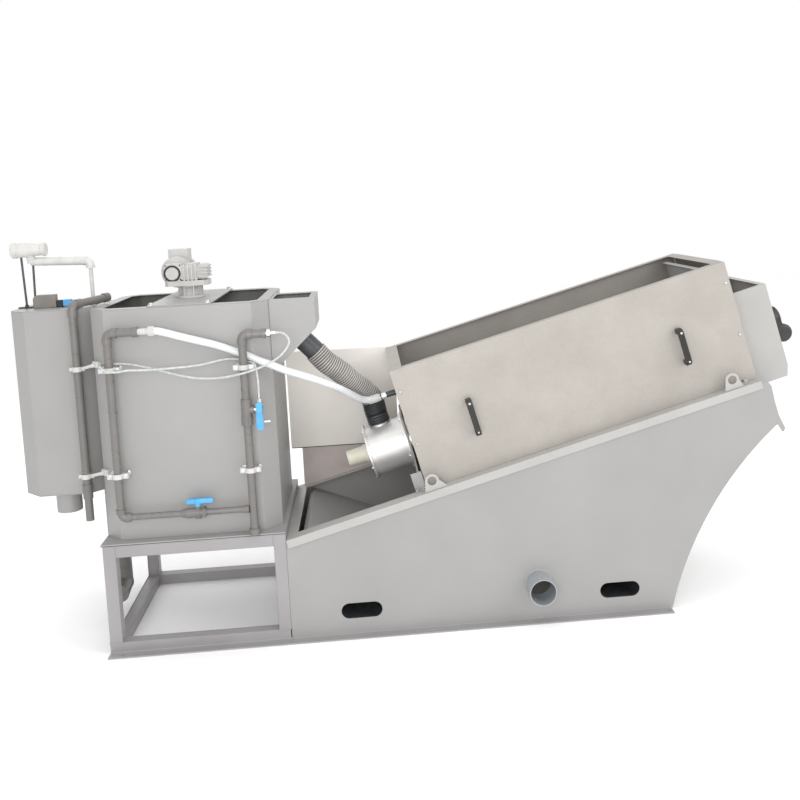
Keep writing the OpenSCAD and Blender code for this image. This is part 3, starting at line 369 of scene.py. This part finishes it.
def smoothPath(points, steps):  # the same blend between points as the solids have
    points = [Vector(p) for p in points]
    path = []
    for i in range(len(points) - 1):
        a, b = points[max(i - 1, 0)], points[i]
        c, d = points[i + 1], points[min(i + 2, len(points) - 1)]
        for j in range(steps):
            t = j / steps
            path.append(0.5 * (2 * b + (c - a) * t + (2 * a - 5 * b + 4 * c - d) * t * t
                               + (3 * b - a - 3 * c + d) * t ** 3))
    return path + [points[-1]]


def evenPath(path, count):  # points at equal steps along a path
    sums = [0]
    for a, b in zip(path, path[1:]):
        sums.append(sums[-1] + (b - a).length)
    found, i = [], 0
    for k in range(count + 1):
        want = sums[-1] * k / count
        while i < len(path) - 2 and sums[i + 1] < want:
            i += 1
        found.append(path[i].lerp(path[i + 1], (want - sums[i]) / (sums[i + 1] - sums[i])))
    return found, sums[-1]


def addHose(name, hose, finish, node):
    path, length = evenPath(smoothPath(hose["points"], 8), 4 * len(hose["points"]))
    data = bpy.data.curves.new(name, "CURVE")
    data.dimensions = "3D"
    data.bevel_depth = hose["width"] / 2000
    data.bevel_resolution = 5
    data.use_fill_caps = True
    line = data.splines.new("POLY")
    line.points.add(len(path) - 1)
    for point, spot in zip(line.points, path):
        point.co = (*inMachine(spot), 1)
    line.use_smooth = True
    data.materials.append(finishes[finish])
    piece = bpy.data.objects.new(name, data)
    bpy.context.scene.collection.objects.link(piece)
    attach(piece, "machine")
    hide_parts(node)
    print(name, "length", round(length), "mm")
    return piece, length


sprayPiece, sprayLength = addHose("sprayWaterHose", sprayHose, "whiteVinyl", "spray_hose")
samplePiece, sampleLength = addHose("sampleLineHose", sampleHose, "milkyVinyl", "sample_hose")
print("cords laid")

# CAD nodes that keep their shape
plainNodes = {
    "standPowderCoat": (("base_rail_front", 1.5), ("base_rail_rear", 1.5), ("tank_stand", 3.0)),
    "bodyPowderCoat": (("front_plate", 0.8), ("rear_plate", 0.8), ("body_left_wall", 0.8),
                       ("body_floor", 0.8), ("body_end_wall", 0.8), ("spout_wall", 0.8), ("cake_chute", 0.8),
                       ("hopper_floor", 0.8), ("floc_tank_floor", 1.2), ("floc_tank_shell", 0.8),
                       ("floc_tank_top", 0.8), ("mixer_bridge", 1.2), ("outlet_box", 0.8),
                       ("metering_tank", 0.8), ("metering_floor", 0.8), ("metering_rim", 0.8),
                       ("drum_support_left", 1.0), ("drum_support_right", 1.0)),
    "greyBrownPlastic": (("level_switch", 2.0),),
    "steelDark": (("fork_pocket_left", 0), ("fork_pocket_right", 0)),
    "rimPowderCoat": (("rim_front", 1.5), ("rim_rear", 1.5), ("rim_left", 1.0), ("lugs_front", 1.5),
                      ("lugs_rear", 1.5), ("discharge_box", 0.8)),
    "drainPvc": (("drain_pipe", 1.0),),
    "greyPvc": (("return_pipe", 0),),
    "whiteCastAluminium": (("mixer_gearbox", 1.2), ("mixer_motor", 0)),
    # the casing's paler stainless is painted sheen
    "sheenPaintedStainless": (("inlet_casing", 1.0),),
    "satinStainless": (("mixer_shaft", 0), ("drum_rings", 0), ("screw_shaft", 0),
                       ("tie_rods", 0.6), ("spray_pipe", 0)),
    "blastedStainless": (("cover_front", 0.7), ("cover_rear", 0.7), ("cover_left_end", 0.7),
                         ("cover_right_end", 0.7)),
    "creamPolypropylene": (("drain_cap", 1.0),),
    "machineEnamel": (("drive_gearbox", 2.0), ("gear_motor", 0)),
    "blackNylon": (("cover_handles", 3.0),),
    "blueNylon": (("valve_lever_low", 1.2), ("valve_lever_high", 1.0)),
}
# the inner walls of these tanks take the darker finish as painted shade
paintedShadeInsides = {"floc_tank_shell": tank["middle"], "metering_tank": (-165, 415)}
for finish, members in plainNodes.items():
    for nodeName, soften in members:
        dressed = dressNode(nodeName, finish, soften)
        if nodeName in paintedShadeInsides:
            paintShadeInside(dressed, paintedShadeInsides[nodeName], "paintedShadeInside")
print("nodes dressed")

# corrugated hose from the overflow box to the casing
inletHose = {"pitch": 10, "outer": 98, "valley": 87, "cuff": 86, "cuffLength": 75, "shadeLength": 125,
             "sides": 28}


def addInletHose():
    port = Vector((817, 255, 1190))
    end = onDrum(62, 0, drum["casing"] / 2 + 4.6)
    spots = [port + Vector((3, 0, -3.3)), port + Vector((47, 3, -51)), port + Vector((92, 11, -105)),
             port + Vector((146, 30, -151)), end + Vector((-120, -65, 213)), end + Vector((-64, -35, 159)),
             end + Vector((-27, -15, 112)), onDrum(62, 0, drum["casing"] / 2 + 62),
             onDrum(62, 0, drum["casing"] / 2 + 34), end]
    path, length = evenPath(smoothPath(spots, 10), 4)
    count = 4 * int(length / inletHose["pitch"])
    path, length = evenPath(smoothPath(spots, 10), count)
    swell = (0.0, 0.75, 1.0, 0.75)
    widths = [inletHose["valley"] + (inletHose["outer"] - inletHose["valley"]) * swell[i % 4]
              for i in range(count + 1)]
    cuffRings, shadeRings = (int(inletHose[key] * count / length) for key in ("cuffLength", "shadeLength"))
    widths[:cuffRings] = [inletHose["cuff"]] * cuffRings
    bm = bmesh.new()
    addTube(bm, path, widths, inletHose["sides"])
    piece = newPiece("spiralInletHose", bm, machineFrame, "spiralPvc", ("inlet_hose",),
                     corner=60)
    piece.data.materials.append(finishes["ribHighlightPvc"])
    piece.data.materials.append(finishes["cuffAndShadePvc"])
    # rib crests take the paler finish as painted highlight; the cuff at the port and the last run into the
    # casing take the dark finish, the last run as painted shade
    for k, face in enumerate(list(piece.data.polygons)[2:]):  # the first two faces close the ends
        ring = k // inletHose["sides"]
        plain = ring < cuffRings or ring > count - shadeRings
        face.material_index = 2 if plain else int(ring % 4 in (1, 2))


addInletHose()

# service pipes with their clips
pipes = {"width": 32, "socket": 39, "y": 2, "left": 85, "right": 600, "cross": 556, "leftTop": 1290,
         "rightTop": 1256, "branch": 957, "small": 652, "valve": (316, 418), "stem": 384, "crossWidth": 25}
sprayNipple = {"start": 204, "end": 252, "ribs": (216, 226, 236), "width": 25, "rib": 29, "nut": 35.6}
sampleTail = {"start": 691, "end": 733, "ribs": (714, 720, 726), "width": 16, "nut": 30, "low": 1020}
overflow = {"corner": (-72, 124, 1397), "mouth": (20, 309, 1406), "foot": 517, "sleeve": (609, 667),
            "hangers": (690, 1129)}
clipHeights = {"left": (714, 1136), "right": (704, 1117)}
clip = {"reach": 21, "thick": 3.5, "half": 41, "height": 20, "bolts": (-30, 30)}


def addClip(name, x, y, wall, z):
    bm = bmesh.new()
    reach, thick, half, height = clip["reach"], clip["thick"], clip["half"], clip["height"]
    arc = [(reach * math.cos(math.radians(a)), -reach * math.sin(math.radians(a)))
           for a in range(20, 161, 10)]
    inner = [(px * (reach - thick) / reach, py * (reach - thick) / reach) for px, py in reversed(arc)]
    front, back = arc[0][1], arc[0][1] + thick + 2
    outline = [(half, front)] + arc + [(-half, front), (-half, back), (inner[0][0] - 1, back)]
    outline += inner + [(inner[-1][0] + 1, back), (half, back)]
    addPlate(bm, outline, height, Matrix.Translation((x, y, z)))
    addBlock(bm, (x - half, y + 2, z), (x + half, y + 10, z + height))  # back bar of the clip
    newPiece(name, bm, machineFrame, "whitePolypropylene", soften=0.6)
    bm = bmesh.new()
    for shift in clip["bolts"]:
        addRod(bm, (x + shift, y - 16, z + height / 2), (x + shift, wall, z + height / 2), 8, 16)
        for spot in (y - 7, wall - 0.5):
            addBolt(bm, (x + shift, spot, z + height / 2), (0, -1, 0), 13, 18, 6)
    newPiece(name + "Bolts", bm, machineFrame, "zincPlate")


def addHanger(name, pipe, z):  # clip on an arm from the chamfer of the tank
    foot = Vector((20, 94, z + 30))
    bm = bmesh.new()
    addRod(bm, (pipe.x, pipe.y, z), (pipe.x, pipe.y, z + 20), 40, 32)
    for shift in (-24, 24):
        addBlock(bm, (pipe.x + shift - 7, pipe.y - 4, z + 2), (pipe.x + shift + 7, pipe.y + 4, z + 18))
    inner, outer = Vector((pipe.x + 15, pipe.y, z + 10)), foot - Vector((7, 7, 0))
    addRod(bm, inner, outer, 14, 20)
    addRod(bm, inner.lerp(outer, 0.72), outer, 18, 20)
    earlier = set(bm.verts)
    addBlock(bm, (-20, -14.3, -12), (20, -0.3, 12))
    settle(bm, earlier, Matrix.Translation(foot) @ Matrix.Rotation(math.radians(-45), 4, "Z"))
    newPiece(name, bm, machineFrame, "whitePolypropylene", soften=0.6)
    bm = bmesh.new()
    for shift in (-24, 24):
        addBolt(bm, (pipe.x + shift, pipe.y - 4, z + 10), (0, -1, 0), 8, 12, 4)
    newPiece(name + "Bolts", bm, machineFrame, "zincPlate")


def addNut(bm, a, b, width, ribs=10):  # union nut with grip ribs
    addRod(bm, a, b, width, 32)
    ahead = (Vector(b) - Vector(a)).normalized()
    side = ahead.orthogonal().normalized()
    for k in range(ribs):
        out = Matrix.Rotation(2 * math.pi * k / ribs, 3, ahead) @ side
        addRod(bm, Vector(a) + out * width * 0.47 + ahead * 1.5,
               Vector(b) + out * width * 0.47 - ahead * 1.5, 6, 8)


def addServicePipes():
    y, width, socket = pipes["y"], pipes["width"], pipes["socket"]
    left, right, cross = pipes["left"], pipes["right"], pipes["cross"]
    top, start, end = pipes["leftTop"], sprayNipple["start"], sprayNipple["end"]
    bm = bmesh.new()
    addRod(bm, (left, y, cross + 20), (left, y, top - 20), width, 32)
    addElbow(bm, (left, y, top), (0, 0, -1), (1, 0, 0), width + 3, socket, 40)
    addRod(bm, (left + 20, y, top), (start - 6, y, top), width, 32)
    addRod(bm, (start - 18, y, top), (start, y, top), socket, 32)
    newPiece("leftRiserPipe", bm, machineFrame, "greyPvc", ("left_riser",))
    bm = bmesh.new()
    addRod(bm, (start, y, top), (end, y, top), sprayNipple["width"], 24)
    for x in sprayNipple["ribs"]:
        addRod(bm, (x, y, top), (x + 5, y, top), sprayNipple["rib"], 24, sprayNipple["width"])
    addNut(bm, (end - 8, y, top), (end + 16, y, top), sprayNipple["nut"], 12)
    newPiece("sprayHoseNipple", bm, machineFrame, "whitePolypropylene", soften=0.4)

    top, start, end = pipes["rightTop"], sampleTail["start"], sampleTail["end"]
    branch, small = pipes["branch"], pipes["small"]
    bm = bmesh.new()
    addRod(bm, (right, y, tank["floor"]), (right, y, top - 20), width, 32)
    addElbow(bm, (right, y, top), (0, 0, -1), (1, 0, 0), width + 3, socket, 40)
    addRod(bm, (right + 20, y, top), (start, y, top), width, 32)
    addRod(bm, (start - 11, y, top), (start + 3, y, top), socket, 32)
    addRod(bm, (right, y, branch - 30), (right, y, branch + 42), socket + 2, 32)
    addNut(bm, (right, y, branch - 62), (right, y, branch - 24), socket + 4, 12)
    addRod(bm, (right, y, branch), (right + 30, y, branch), socket - 6, 28)
    addRod(bm, (right, y, tank["floor"]), (right, y, tank["floor"] + 26), socket + 3, 32)
    addRod(bm, (right, y, cross + 72), (right, y, cross + 75), width + 2, 32)
    newPiece("rightRiserPipe", bm, machineFrame, "greyPvc", ("right_riser",))

    bm = bmesh.new()
    addRod(bm, (start, y, top), (end, y, top), sampleTail["width"], 20)
    addRod(bm, (start + 7, y, top), (start + 21, y, top), sampleTail["nut"], 6)
    for x in sampleTail["ribs"]:
        addRod(bm, (x, y, top), (x + 4, y, top), 16.5, 20, 13)
    addRod(bm, (right + 28, y, branch), (small, y, branch), 17, 20)
    addRod(bm, (right + 34, y, branch), (right + 42, y, branch), 25, 6)
    addRod(bm, (small, y, branch - 26), (small, y, branch + 26), 25, 20)
    addRod(bm, (small, y, branch + 26), (small, y, branch + 40), 19, 6)
    addRod(bm, (small, y, branch - 42), (small, y, branch - 26), 19, 6)
    addRod(bm, (small, y, branch + 40), (small, y, sampleTail["low"]), 10, 16)
    addRod(bm, (small, y - 16, branch), (small, y, branch), 12, 16)
    newPiece("sampleValveBody", bm, machineFrame, "zincPlate", soften=0.5)
    bm = bmesh.new()
    addElbow(bm, (small, y, branch - 52), (0, 0, 1), (1, 0, 0), 11, 14, 20)
    addRod(bm, (small + 18, y, branch - 52), (small + 38, y, branch - 52), 11, 16)
    newPiece("sampleOutletElbow", bm, machineFrame, "zincPlate")

    (a, b), stem, thin = pipes["valve"], pipes["stem"], pipes["crossWidth"]
    bm = bmesh.new()
    addElbow(bm, (left, y, cross), (0, 0, 1), (1, 0, 0), width + 3, socket, 34)
    addRod(bm, (left + 34, y, cross), (left + 42, y, cross), socket, 32, thin + 2)
    addRod(bm, (left + 30, y, cross), (a + 4, y, cross), thin, 32)
    addRod(bm, (b - 4, y, cross), (right - 40, y, cross), thin, 32)
    addRod(bm, (right - 48, y, cross), (right - 16, y, cross), thin + 2, 32, thin + 7)
    newPiece("crossPipeRun", bm, machineFrame, "greyPvc", ("cross_pipe",))
    bm = bmesh.new()
    addTurned(bm, [(0, 0), (13, 0), (18, 16), (18, 20), (20, 22), (20, 76), (17, 78), (17, 88),
                   (16, 102), (0, 102)],
              Matrix.Translation((a, y, cross)) @ Matrix.Rotation(math.pi / 2, 4, "Y"))
    addRod(bm, (stem, y, cross - 24), (stem, y, cross), 24, 24, 32)
    addBlock(bm, (b - 14, y - 18, cross - 18), (b - 3, y + 18, cross + 18))
    addRod(bm, (stem, y, cross), (stem, y, cross + 26), 21, 24)
    newPiece("ballValveBody", bm, machineFrame, "greyPvc", soften=0.8)

    for side, heights in clipHeights.items():
        for k, z in enumerate(heights):
            addClip(side + "PipeClip" + str(k), pipes[side], y, tank["y"], z)

    # overflow pipe beside the metering tank
    corner, mouth = Vector(overflow["corner"]), Vector(overflow["mouth"])
    lean = (mouth - corner).normalized()
    low, high = overflow["sleeve"]
    bm = bmesh.new()
    addRod(bm, (corner.x, corner.y, overflow["foot"]), corner - Vector((0, 0, 20)), width, 32)
    addRod(bm, (corner.x, corner.y, low), (corner.x, corner.y, high), socket, 32)
    addElbow(bm, corner, (0, 0, -1), lean, width + 3, socket, 48)
    addRod(bm, corner + lean * 20, mouth, width, 32)
    addRod(bm, mouth - lean * 26, mouth, socket, 32)
    newPiece("meteringOverflowPipe", bm, machineFrame, "greyPvc", ("overflow_pipe",))
    for k, z in enumerate(overflow["hangers"]):
        addHanger("overflowPipeHanger" + str(k), corner, z)


addServicePipes()
print("pipes fitted")

# fittings above the metering tank
levelPipe = {"y": 300, "z": 1562, "left": -272, "right": -36, "joints": (-215, -154, -93), "low": 925}
levelValve = {"x": -345, "rise": 56, "bore": 35.6, "boreEnds": (21.5, 23)}
levelPosts = {"ends": ((-305, -311), (-270, -265)), "low": 1381, "width": 9, "nut": 16}
levelSwitch = {"gland": ((-176.5, 263, 1379.5), (-150, 293, 1407)),
               "plug": ((-150, 265, 1380.5), (-116, 291, 1409))}


def addLevelPipe():
    y, z, left, right = levelPipe["y"], levelPipe["z"], levelPipe["left"], levelPipe["right"]
    bm = bmesh.new()
    valve, middle = levelValve["x"], z + levelValve["rise"]
    head = Matrix.Translation((valve, y, middle)) @ Matrix.Rotation(math.pi / 2, 4, "Y")
    addTurned(bm, [(0, 22), (18, 22), (18, 0), (30, 0), (33, 4), (33, 18), (30, 22), (30, 66), (26, 96),
                   (24, 118), (28, 122), (28, 134), (26, 136), (0, 136)], head, 40)
    addRod(bm, (left, y, z), (left, y, z + 40), 30, 28)
    addRod(bm, (left, y, z + 14), (left, y, z + 26), 37, 6)
    newPiece("levelValveHead", bm, machineFrame, "whitePolypropylene", ("metering_pipe",),
             soften=0.6)
    # a black disc inside the bore of the valve head: painted shade in the hole
    near, far = (valve + reach for reach in levelValve["boreEnds"])
    bm = bmesh.new()
    addRod(bm, (near, y, middle), (far, y, middle), levelValve["bore"], 24)
    newPiece("levelValveBoreShade", bm, machineFrame, "sealRubberAndShade")
    bm = bmesh.new()
    addRod(bm, (left, y, z + 8), (right - 10, y, z), 34, 32)
    for x in levelPipe["joints"]:
        spot = Vector((left, y, z + 8)).lerp(Vector((right, y, z)), (x - left) / (right - left))
        addRod(bm, spot - Vector((2, 0, 0)), spot + Vector((2, 0, 0)), 35.8, 32)
    addElbow(bm, (right, y, z), (-1, 0, 0), (0, 0, -1), 33, 36, 30)
    addRod(bm, (right, y, z - 20), (right, y, levelPipe["low"]), 16, 24)
    newPiece("levelPipeBar", bm, machineFrame, "whitePolypropylene")
    bm = bmesh.new()
    low = levelPosts["low"]
    for foot, top in levelPosts["ends"]:
        addRod(bm, (foot, y, low), (top, y, z + 30), levelPosts["width"], 12)
        addRod(bm, (foot, y, low + 3), (foot, y, low + 11), levelPosts["nut"], 6)
    addBlock(bm, (-339, y - 6, low - 2.5), (-258, y + 18, low + 3))
    newPiece("levelPipePosts", bm, machineFrame, "steelDark", soften=0.4)
    bm = bmesh.new()
    addBlock(bm, *levelSwitch["gland"])
    newPiece("switchGland", bm, machineFrame, "sealRubberAndShade", soften=2)
    bm = bmesh.new()
    addBlock(bm, *levelSwitch["plug"])
    newPiece("switchPlug", bm, machineFrame, "blueNylon", soften=3)


addLevelPipe()

# control cabinet on the far rim
cabinet = {"left": 703, "right": 1210, "low": 612, "high": 1070, "front": 700, "depth": 160, "door": 3,
           "hinge": 40, "edge": 12, "plinth": (50, 130), "plinthDepth": (4, 34), "lock": (30, 90, 26)}


def addCabinet():
    left, right, low, high = cabinet["left"], cabinet["right"], cabinet["low"], cabinet["high"]
    front, back = cabinet["front"], cabinet["front"] + cabinet["depth"]
    stand = Matrix.Translation((0, back, 0)) @ Matrix.Rotation(math.pi / 2, 4, "X")
    shape = [(left, low), (right, low), (right, high), (left + 34, high), (left + 10, high - 10),
             (left, high - 34)]
    bm = bmesh.new()
    door, edge = cabinet["door"], cabinet["edge"]
    addPlate(bm, shape, cabinet["depth"] - door, stand @ Matrix.Translation((0, 0, door)))
    newPiece("cabinetBody", bm, machineFrame, "cabinetPowderCoat", ("control_cabinet",),
             soften=2.5)
    bm = bmesh.new()
    addBlock(bm, (left + cabinet["hinge"], back - door, low + edge), (right - edge, back, high - edge))
    newPiece("cabinetDoor", bm, machineFrame, "cabinetPowderCoat", soften=1.2)
    bm = bmesh.new()
    near, far = cabinet["plinthDepth"]
    start, end = left + cabinet["plinth"][0], right - cabinet["plinth"][1]
    rise = math.tan(math.radians(drum["tilt"]))
    rim = [(x, drum["z"] + (x - drum["x"]) * rise - 146.7) for x in (start, end)]
    addPlate(bm, rim + [(end, low), (start, low)], far - near,
             Matrix.Translation((0, front + far, 0)) @ Matrix.Rotation(math.pi / 2, 4, "X"))
    newPiece("cabinetPlinth", bm, machineFrame, "plinthPrimer", soften=0.8)
    bm = bmesh.new()
    addBlock(bm, (left + 4, front + 2, low - 3), (right - 4, back - 6, low + 1))
    newPiece("cabinetSeal", bm, machineFrame, "sealRubberAndShade")
    bm = bmesh.new()
    inset, height, width = cabinet["lock"]
    for z in (low + height, high - height):
        addRod(bm, (right - inset, back, z), (right - inset, back - 6, z), width, 28)
    newPiece("cabinetLocks", bm, machineFrame, "zincPlate", soften=1)


addCabinet()


# fasteners and small fittings: places along the drum, across it and square to both
coverFixings = {"screws": ((198, 277), (198, 52), (1604, 280), (1602, 57)), "screw": 12,
                "handles": (448, 1356), "handleReach": 44, "handleScrews": ((150, 11), (26, 9))}


def addCoverFixings():
    half = drum["coverWidth"] / 2
    bm = bmesh.new()
    for side in (-1, 1):
        for u, n in coverFixings["screws"]:
            addScrew(bm, (u, side * half, n), (0, side, 0), coverFixings["screw"])
    newPiece("coverScrews", bm, drumFrame, "satinStainless")
    bm = bmesh.new()
    for u in coverFixings["handles"]:
        for n, width in coverFixings["handleScrews"]:
            addScrew(bm, (u, -half - coverFixings["handleReach"], n), (0, -1, 0), width)
    newPiece("handleScrews", bm, drumFrame, "zincPlate")


collar = {"inner": 110, "outer": 123, "start": 160, "end": 166}
sprayEnd = {"y": -95, "n": 238, "hoseEnd": (52, -98), "elbow": (62, 68, 100), "nut": 110, "cover": 176}


def addSprayEnd():  # collar of the casing, elbow of the white hose and its pipe into the cover
    inner, outer, start, end = collar["inner"], collar["outer"], collar["start"], collar["end"]
    bm = bmesh.new()
    addTurned(bm, [(inner, start), (outer, start), (outer, end), (inner, end), (inner, start)],
              Matrix.Rotation(math.pi / 2, 4, "Y"), 64)
    # the collar in the paler stainless, painted sheen
    newPiece("casingCollar", bm, drumFrame, "sheenPaintedStainless")
    y, n = sprayEnd["y"], sprayEnd["n"]
    back, joint, front = sprayEnd["elbow"]
    bm = bmesh.new()
    addRod(bm, (back, y, n), (front, y, n), 35, 28)
    addRod(bm, (*sprayEnd["hoseEnd"], n), (joint, y, n), 33, 28)
    newPiece("sprayHoseElbow", bm, drumFrame, "whitePolypropylene", soften=1.5)
    bm = bmesh.new()
    addRod(bm, (front, y, n), (sprayEnd["cover"], y, n), 25, 28)
    addRod(bm, (front, y, n), (sprayEnd["nut"], y, n), 30, 6)
    newPiece("sprayPipeSleeve", bm, drumFrame, "steelDark", soften=0.4)


mixerBox = {"x": 352, "face": 320, "z": 1488, "holesAlong": (-90, -30), "holesUp": (-26, 34), "hole": 6,
            "cap": 289, "capGap": (27.5, 35.4)}


def addMixerShadows():
    x, face, z = mixerBox["x"], mixerBox["face"], mixerBox["z"]
    inner, outer = mixerBox["capGap"]
    bm = bmesh.new()
    for dx in mixerBox["holesAlong"]:
        for dz in mixerBox["holesUp"]:
            addRod(bm, (x + dx, face - 0.8, z + dz), (x + dx, face + 1, z + dz), mixerBox["hole"], 16)
    addTurned(bm, [(inner, 4), (outer, 4), (outer, 4.6), (inner, 4.6), (inner, 4)],
              Matrix.Translation((mixerBox["cap"], face, z)) @ Matrix.Rotation(math.pi / 2, 4, "X"), 40)
    newPiece("mixerShadowLines", bm, machineFrame, "sealRubberAndShade")


# bolt circles: place, radius, width of the head, washer, height
boltCircles = {"casing": ((-18, 114, 8, 11, 5), (151, 116, 10, 15, 6)), "drive": (15, 85, 14, 20, 8)}
bridgeBolts = {"x": (248, 468), "y": (68, 672), "z": 1384}
supportBolts = {"u": (159, 1560), "pair": (-19, 8), "reach": 331, "rise": 6}
tieRods = {"circle": 116, "start": 180, "end": 1560, "plates": 5, "plate": 6, "nut": 27, "height": 9}


def addFasteners():
    bm = bmesh.new()
    for k in range(8):
        a = math.radians(22.5 + 45 * k)
        for u, radius, across, washer, head in boltCircles["casing"]:
            addBolt(bm, (u, radius * math.cos(a), radius * math.sin(a)), (-1, 0, 0), across, washer, head)
    newPiece("casingBolts", bm, drumFrame, "zincPlate")
    bm = bmesh.new()
    for x in bridgeBolts["x"]:
        for y in bridgeBolts["y"]:
            addBolt(bm, (x, y, bridgeBolts["z"]), (0, 0, 1), 16, 26, 8)
    newPiece("bridgeBolts", bm, machineFrame, "zincPlate")
    bm = bmesh.new()
    for u in supportBolts["u"]:
        for side in (-1, 1):
            for du in supportBolts["pair"]:
                spot = (u + du, side * supportBolts["reach"], drum["rim"] + supportBolts["rise"])
                addBolt(bm, spot, (0, 0, 1), 13, 20, 7)
    newPiece("supportBolts", bm, drumFrame, "zincPlate")
    bm = bmesh.new()
    start, end, nut, height = tieRods["start"], tieRods["end"], tieRods["nut"], tieRods["height"]
    for a in range(30, 360, 60):
        y, n = tieRods["circle"] * math.sin(math.radians(a)), tieRods["circle"] * math.cos(math.radians(a))
        for k in range(1, tieRods["plates"] + 1):
            u = start + (end - start) * k / (tieRods["plates"] + 1)
            addRod(bm, (u - height, y, n), (u, y, n), nut, 6)
            addRod(bm, (u + tieRods["plate"], y, n), (u + tieRods["plate"] + height, y, n), nut, 6)
        addRod(bm, (start + 3, y, n), (start + 3 + height, y, n), nut, 6)
        addRod(bm, (end - height, y, n), (end, y, n), nut, 6)
    newPiece("tieRodNuts", bm, drumFrame, "zincPlate", soften=0.6)
    rise, radius, across, washer, head = boltCircles["drive"]
    bm = bmesh.new()
    for k in range(6):
        a = math.radians(60 * k)
        spot = (drum["boxEnd"] + rise, radius * math.cos(a), radius * math.sin(a))
        addBolt(bm, spot, (1, 0, 0), across, washer, head)
    newPiece("driveBolts", bm, drumFrame, "zincPlate")


addCoverFixings()
addSprayEnd()
addMixerShadows()
addFasteners()
print("fasteners set")


# weld beads and seals
stand = {"length": 720, "post": 50, "rail": 46, "beam": (394, 444)}
lugWelds = {"u": (208, 1505), "half": 41, "reach": (356, 346)}
drainWeld = {"x": 1736, "z": 158, "ring": ((55, -1), (60, -1), (59, 3), (55, 5), (54, 2), (55, -1))}
sealLine = {"x": (-5, 719), "z": (442.8, 444.6), "half": 0.6}


def addBeads():
    post, length, width, rail = stand["post"], stand["length"], base["width"], stand["rail"]
    low, high = stand["beam"]
    bm = bmesh.new()
    for x in (0, length - post):
        for y in (0, width - post):
            right, back = x + post, y + post
            sides = (((x, y), (right, y)), ((x, back), (right, back)),
                     ((x, y), (x, back)), ((right, y), (right, back)))
            for a, b in sides:
                addBead(bm, (*a, rail), (*b, rail), 5)
    for y in (0, width):
        for x in (post, length - post):
            addBead(bm, (x, y, low), (x, y, high), 4)
        addBead(bm, (6, y, 6), (base["length"] - 6, y, 6), 5)
    newPiece("standWelds", bm, machineFrame, "standPowderCoat", corner=60)
    bm = bmesh.new()
    for side in (-1, 1):
        for u in lugWelds["u"]:
            for reach in lugWelds["reach"]:
                ends = [(u + way * lugWelds["half"], side * reach, drum["rim"]) for way in (-1, 1)]
                addBead(bm, *ends, 5)
    newPiece("lugWelds", bm, drumFrame, "rimPowderCoat", corner=60)
    bm = bmesh.new()
    place = Matrix.Translation((drainWeld["x"], 0, drainWeld["z"])) @ Matrix.Rotation(math.pi / 2, 4, "X")
    addTurned(bm, drainWeld["ring"], place, 48)
    newPiece("drainWeld", bm, machineFrame, "bodyPowderCoat", corner=60)
    (start, end), (low, high), half = sealLine["x"], sealLine["z"], sealLine["half"]
    bm = bmesh.new()
    for y in (0, width):
        addBlock(bm, (start, y - half, low), (end, y + half, high))
    newPiece("baseSealLine", bm, machineFrame, "sealRubberAndShade")


addBeads()
print("welds and seals done")


# floor and light
def addStage():
    bm = bmesh.new()
    bmesh.ops.create_grid(bm, x_segments=1, y_segments=1, size=14)
    mesh = bpy.data.meshes.new("studioFloor")
    bm.to_mesh(mesh)
    bm.free()
    floor = bpy.data.objects.new("studioFloor", mesh)
    bpy.context.scene.collection.objects.link(floor)
    paint = bpy.data.materials.new("studioPaper")
    paint.use_nodes = True
    shader = paint.node_tree.nodes["Principled BSDF"]
    shader.inputs["Base Color"].default_value = hexColour("#fefefe")
    shader.inputs["Roughness"].default_value = 0.9
    mesh.materials.append(paint)
    world = bpy.data.worlds.new("studioAir")
    bpy.context.scene.world = world
    world.use_nodes = True
    world.node_tree.nodes["Background"].inputs["Color"].default_value = (1, 1, 1, 1)
    world.node_tree.nodes["Background"].inputs["Strength"].default_value = 1.0
    lamps = {"keyPanel": ((4.2, -3.0, 3.0), 3.0, 75), "topPanel": ((-0.4, -0.6, 4.6), 4.0, 40),
             "rearPanel": ((-2.5, 4.0, 3.4), 3.0, 20), "frontPanel": ((-0.6, -5.2, 2.0), 2.2, 92)}
    for name, (spot, size, power) in lamps.items():
        lamp = bpy.data.lights.new(name, "AREA")
        lamp.size = size
        lamp.energy = power
        holder = bpy.data.objects.new(name, lamp)
        bpy.context.scene.collection.objects.link(holder)
        aim = (Vector((0.1, 0, 0.7)) - Vector(spot)).to_track_quat("-Z", "Y").to_matrix().to_4x4()
        holder.matrix_world = Matrix.Translation(spot) @ aim
    bpy.context.scene.view_settings.view_transform = "Standard"


addStage()
print("studio lit")
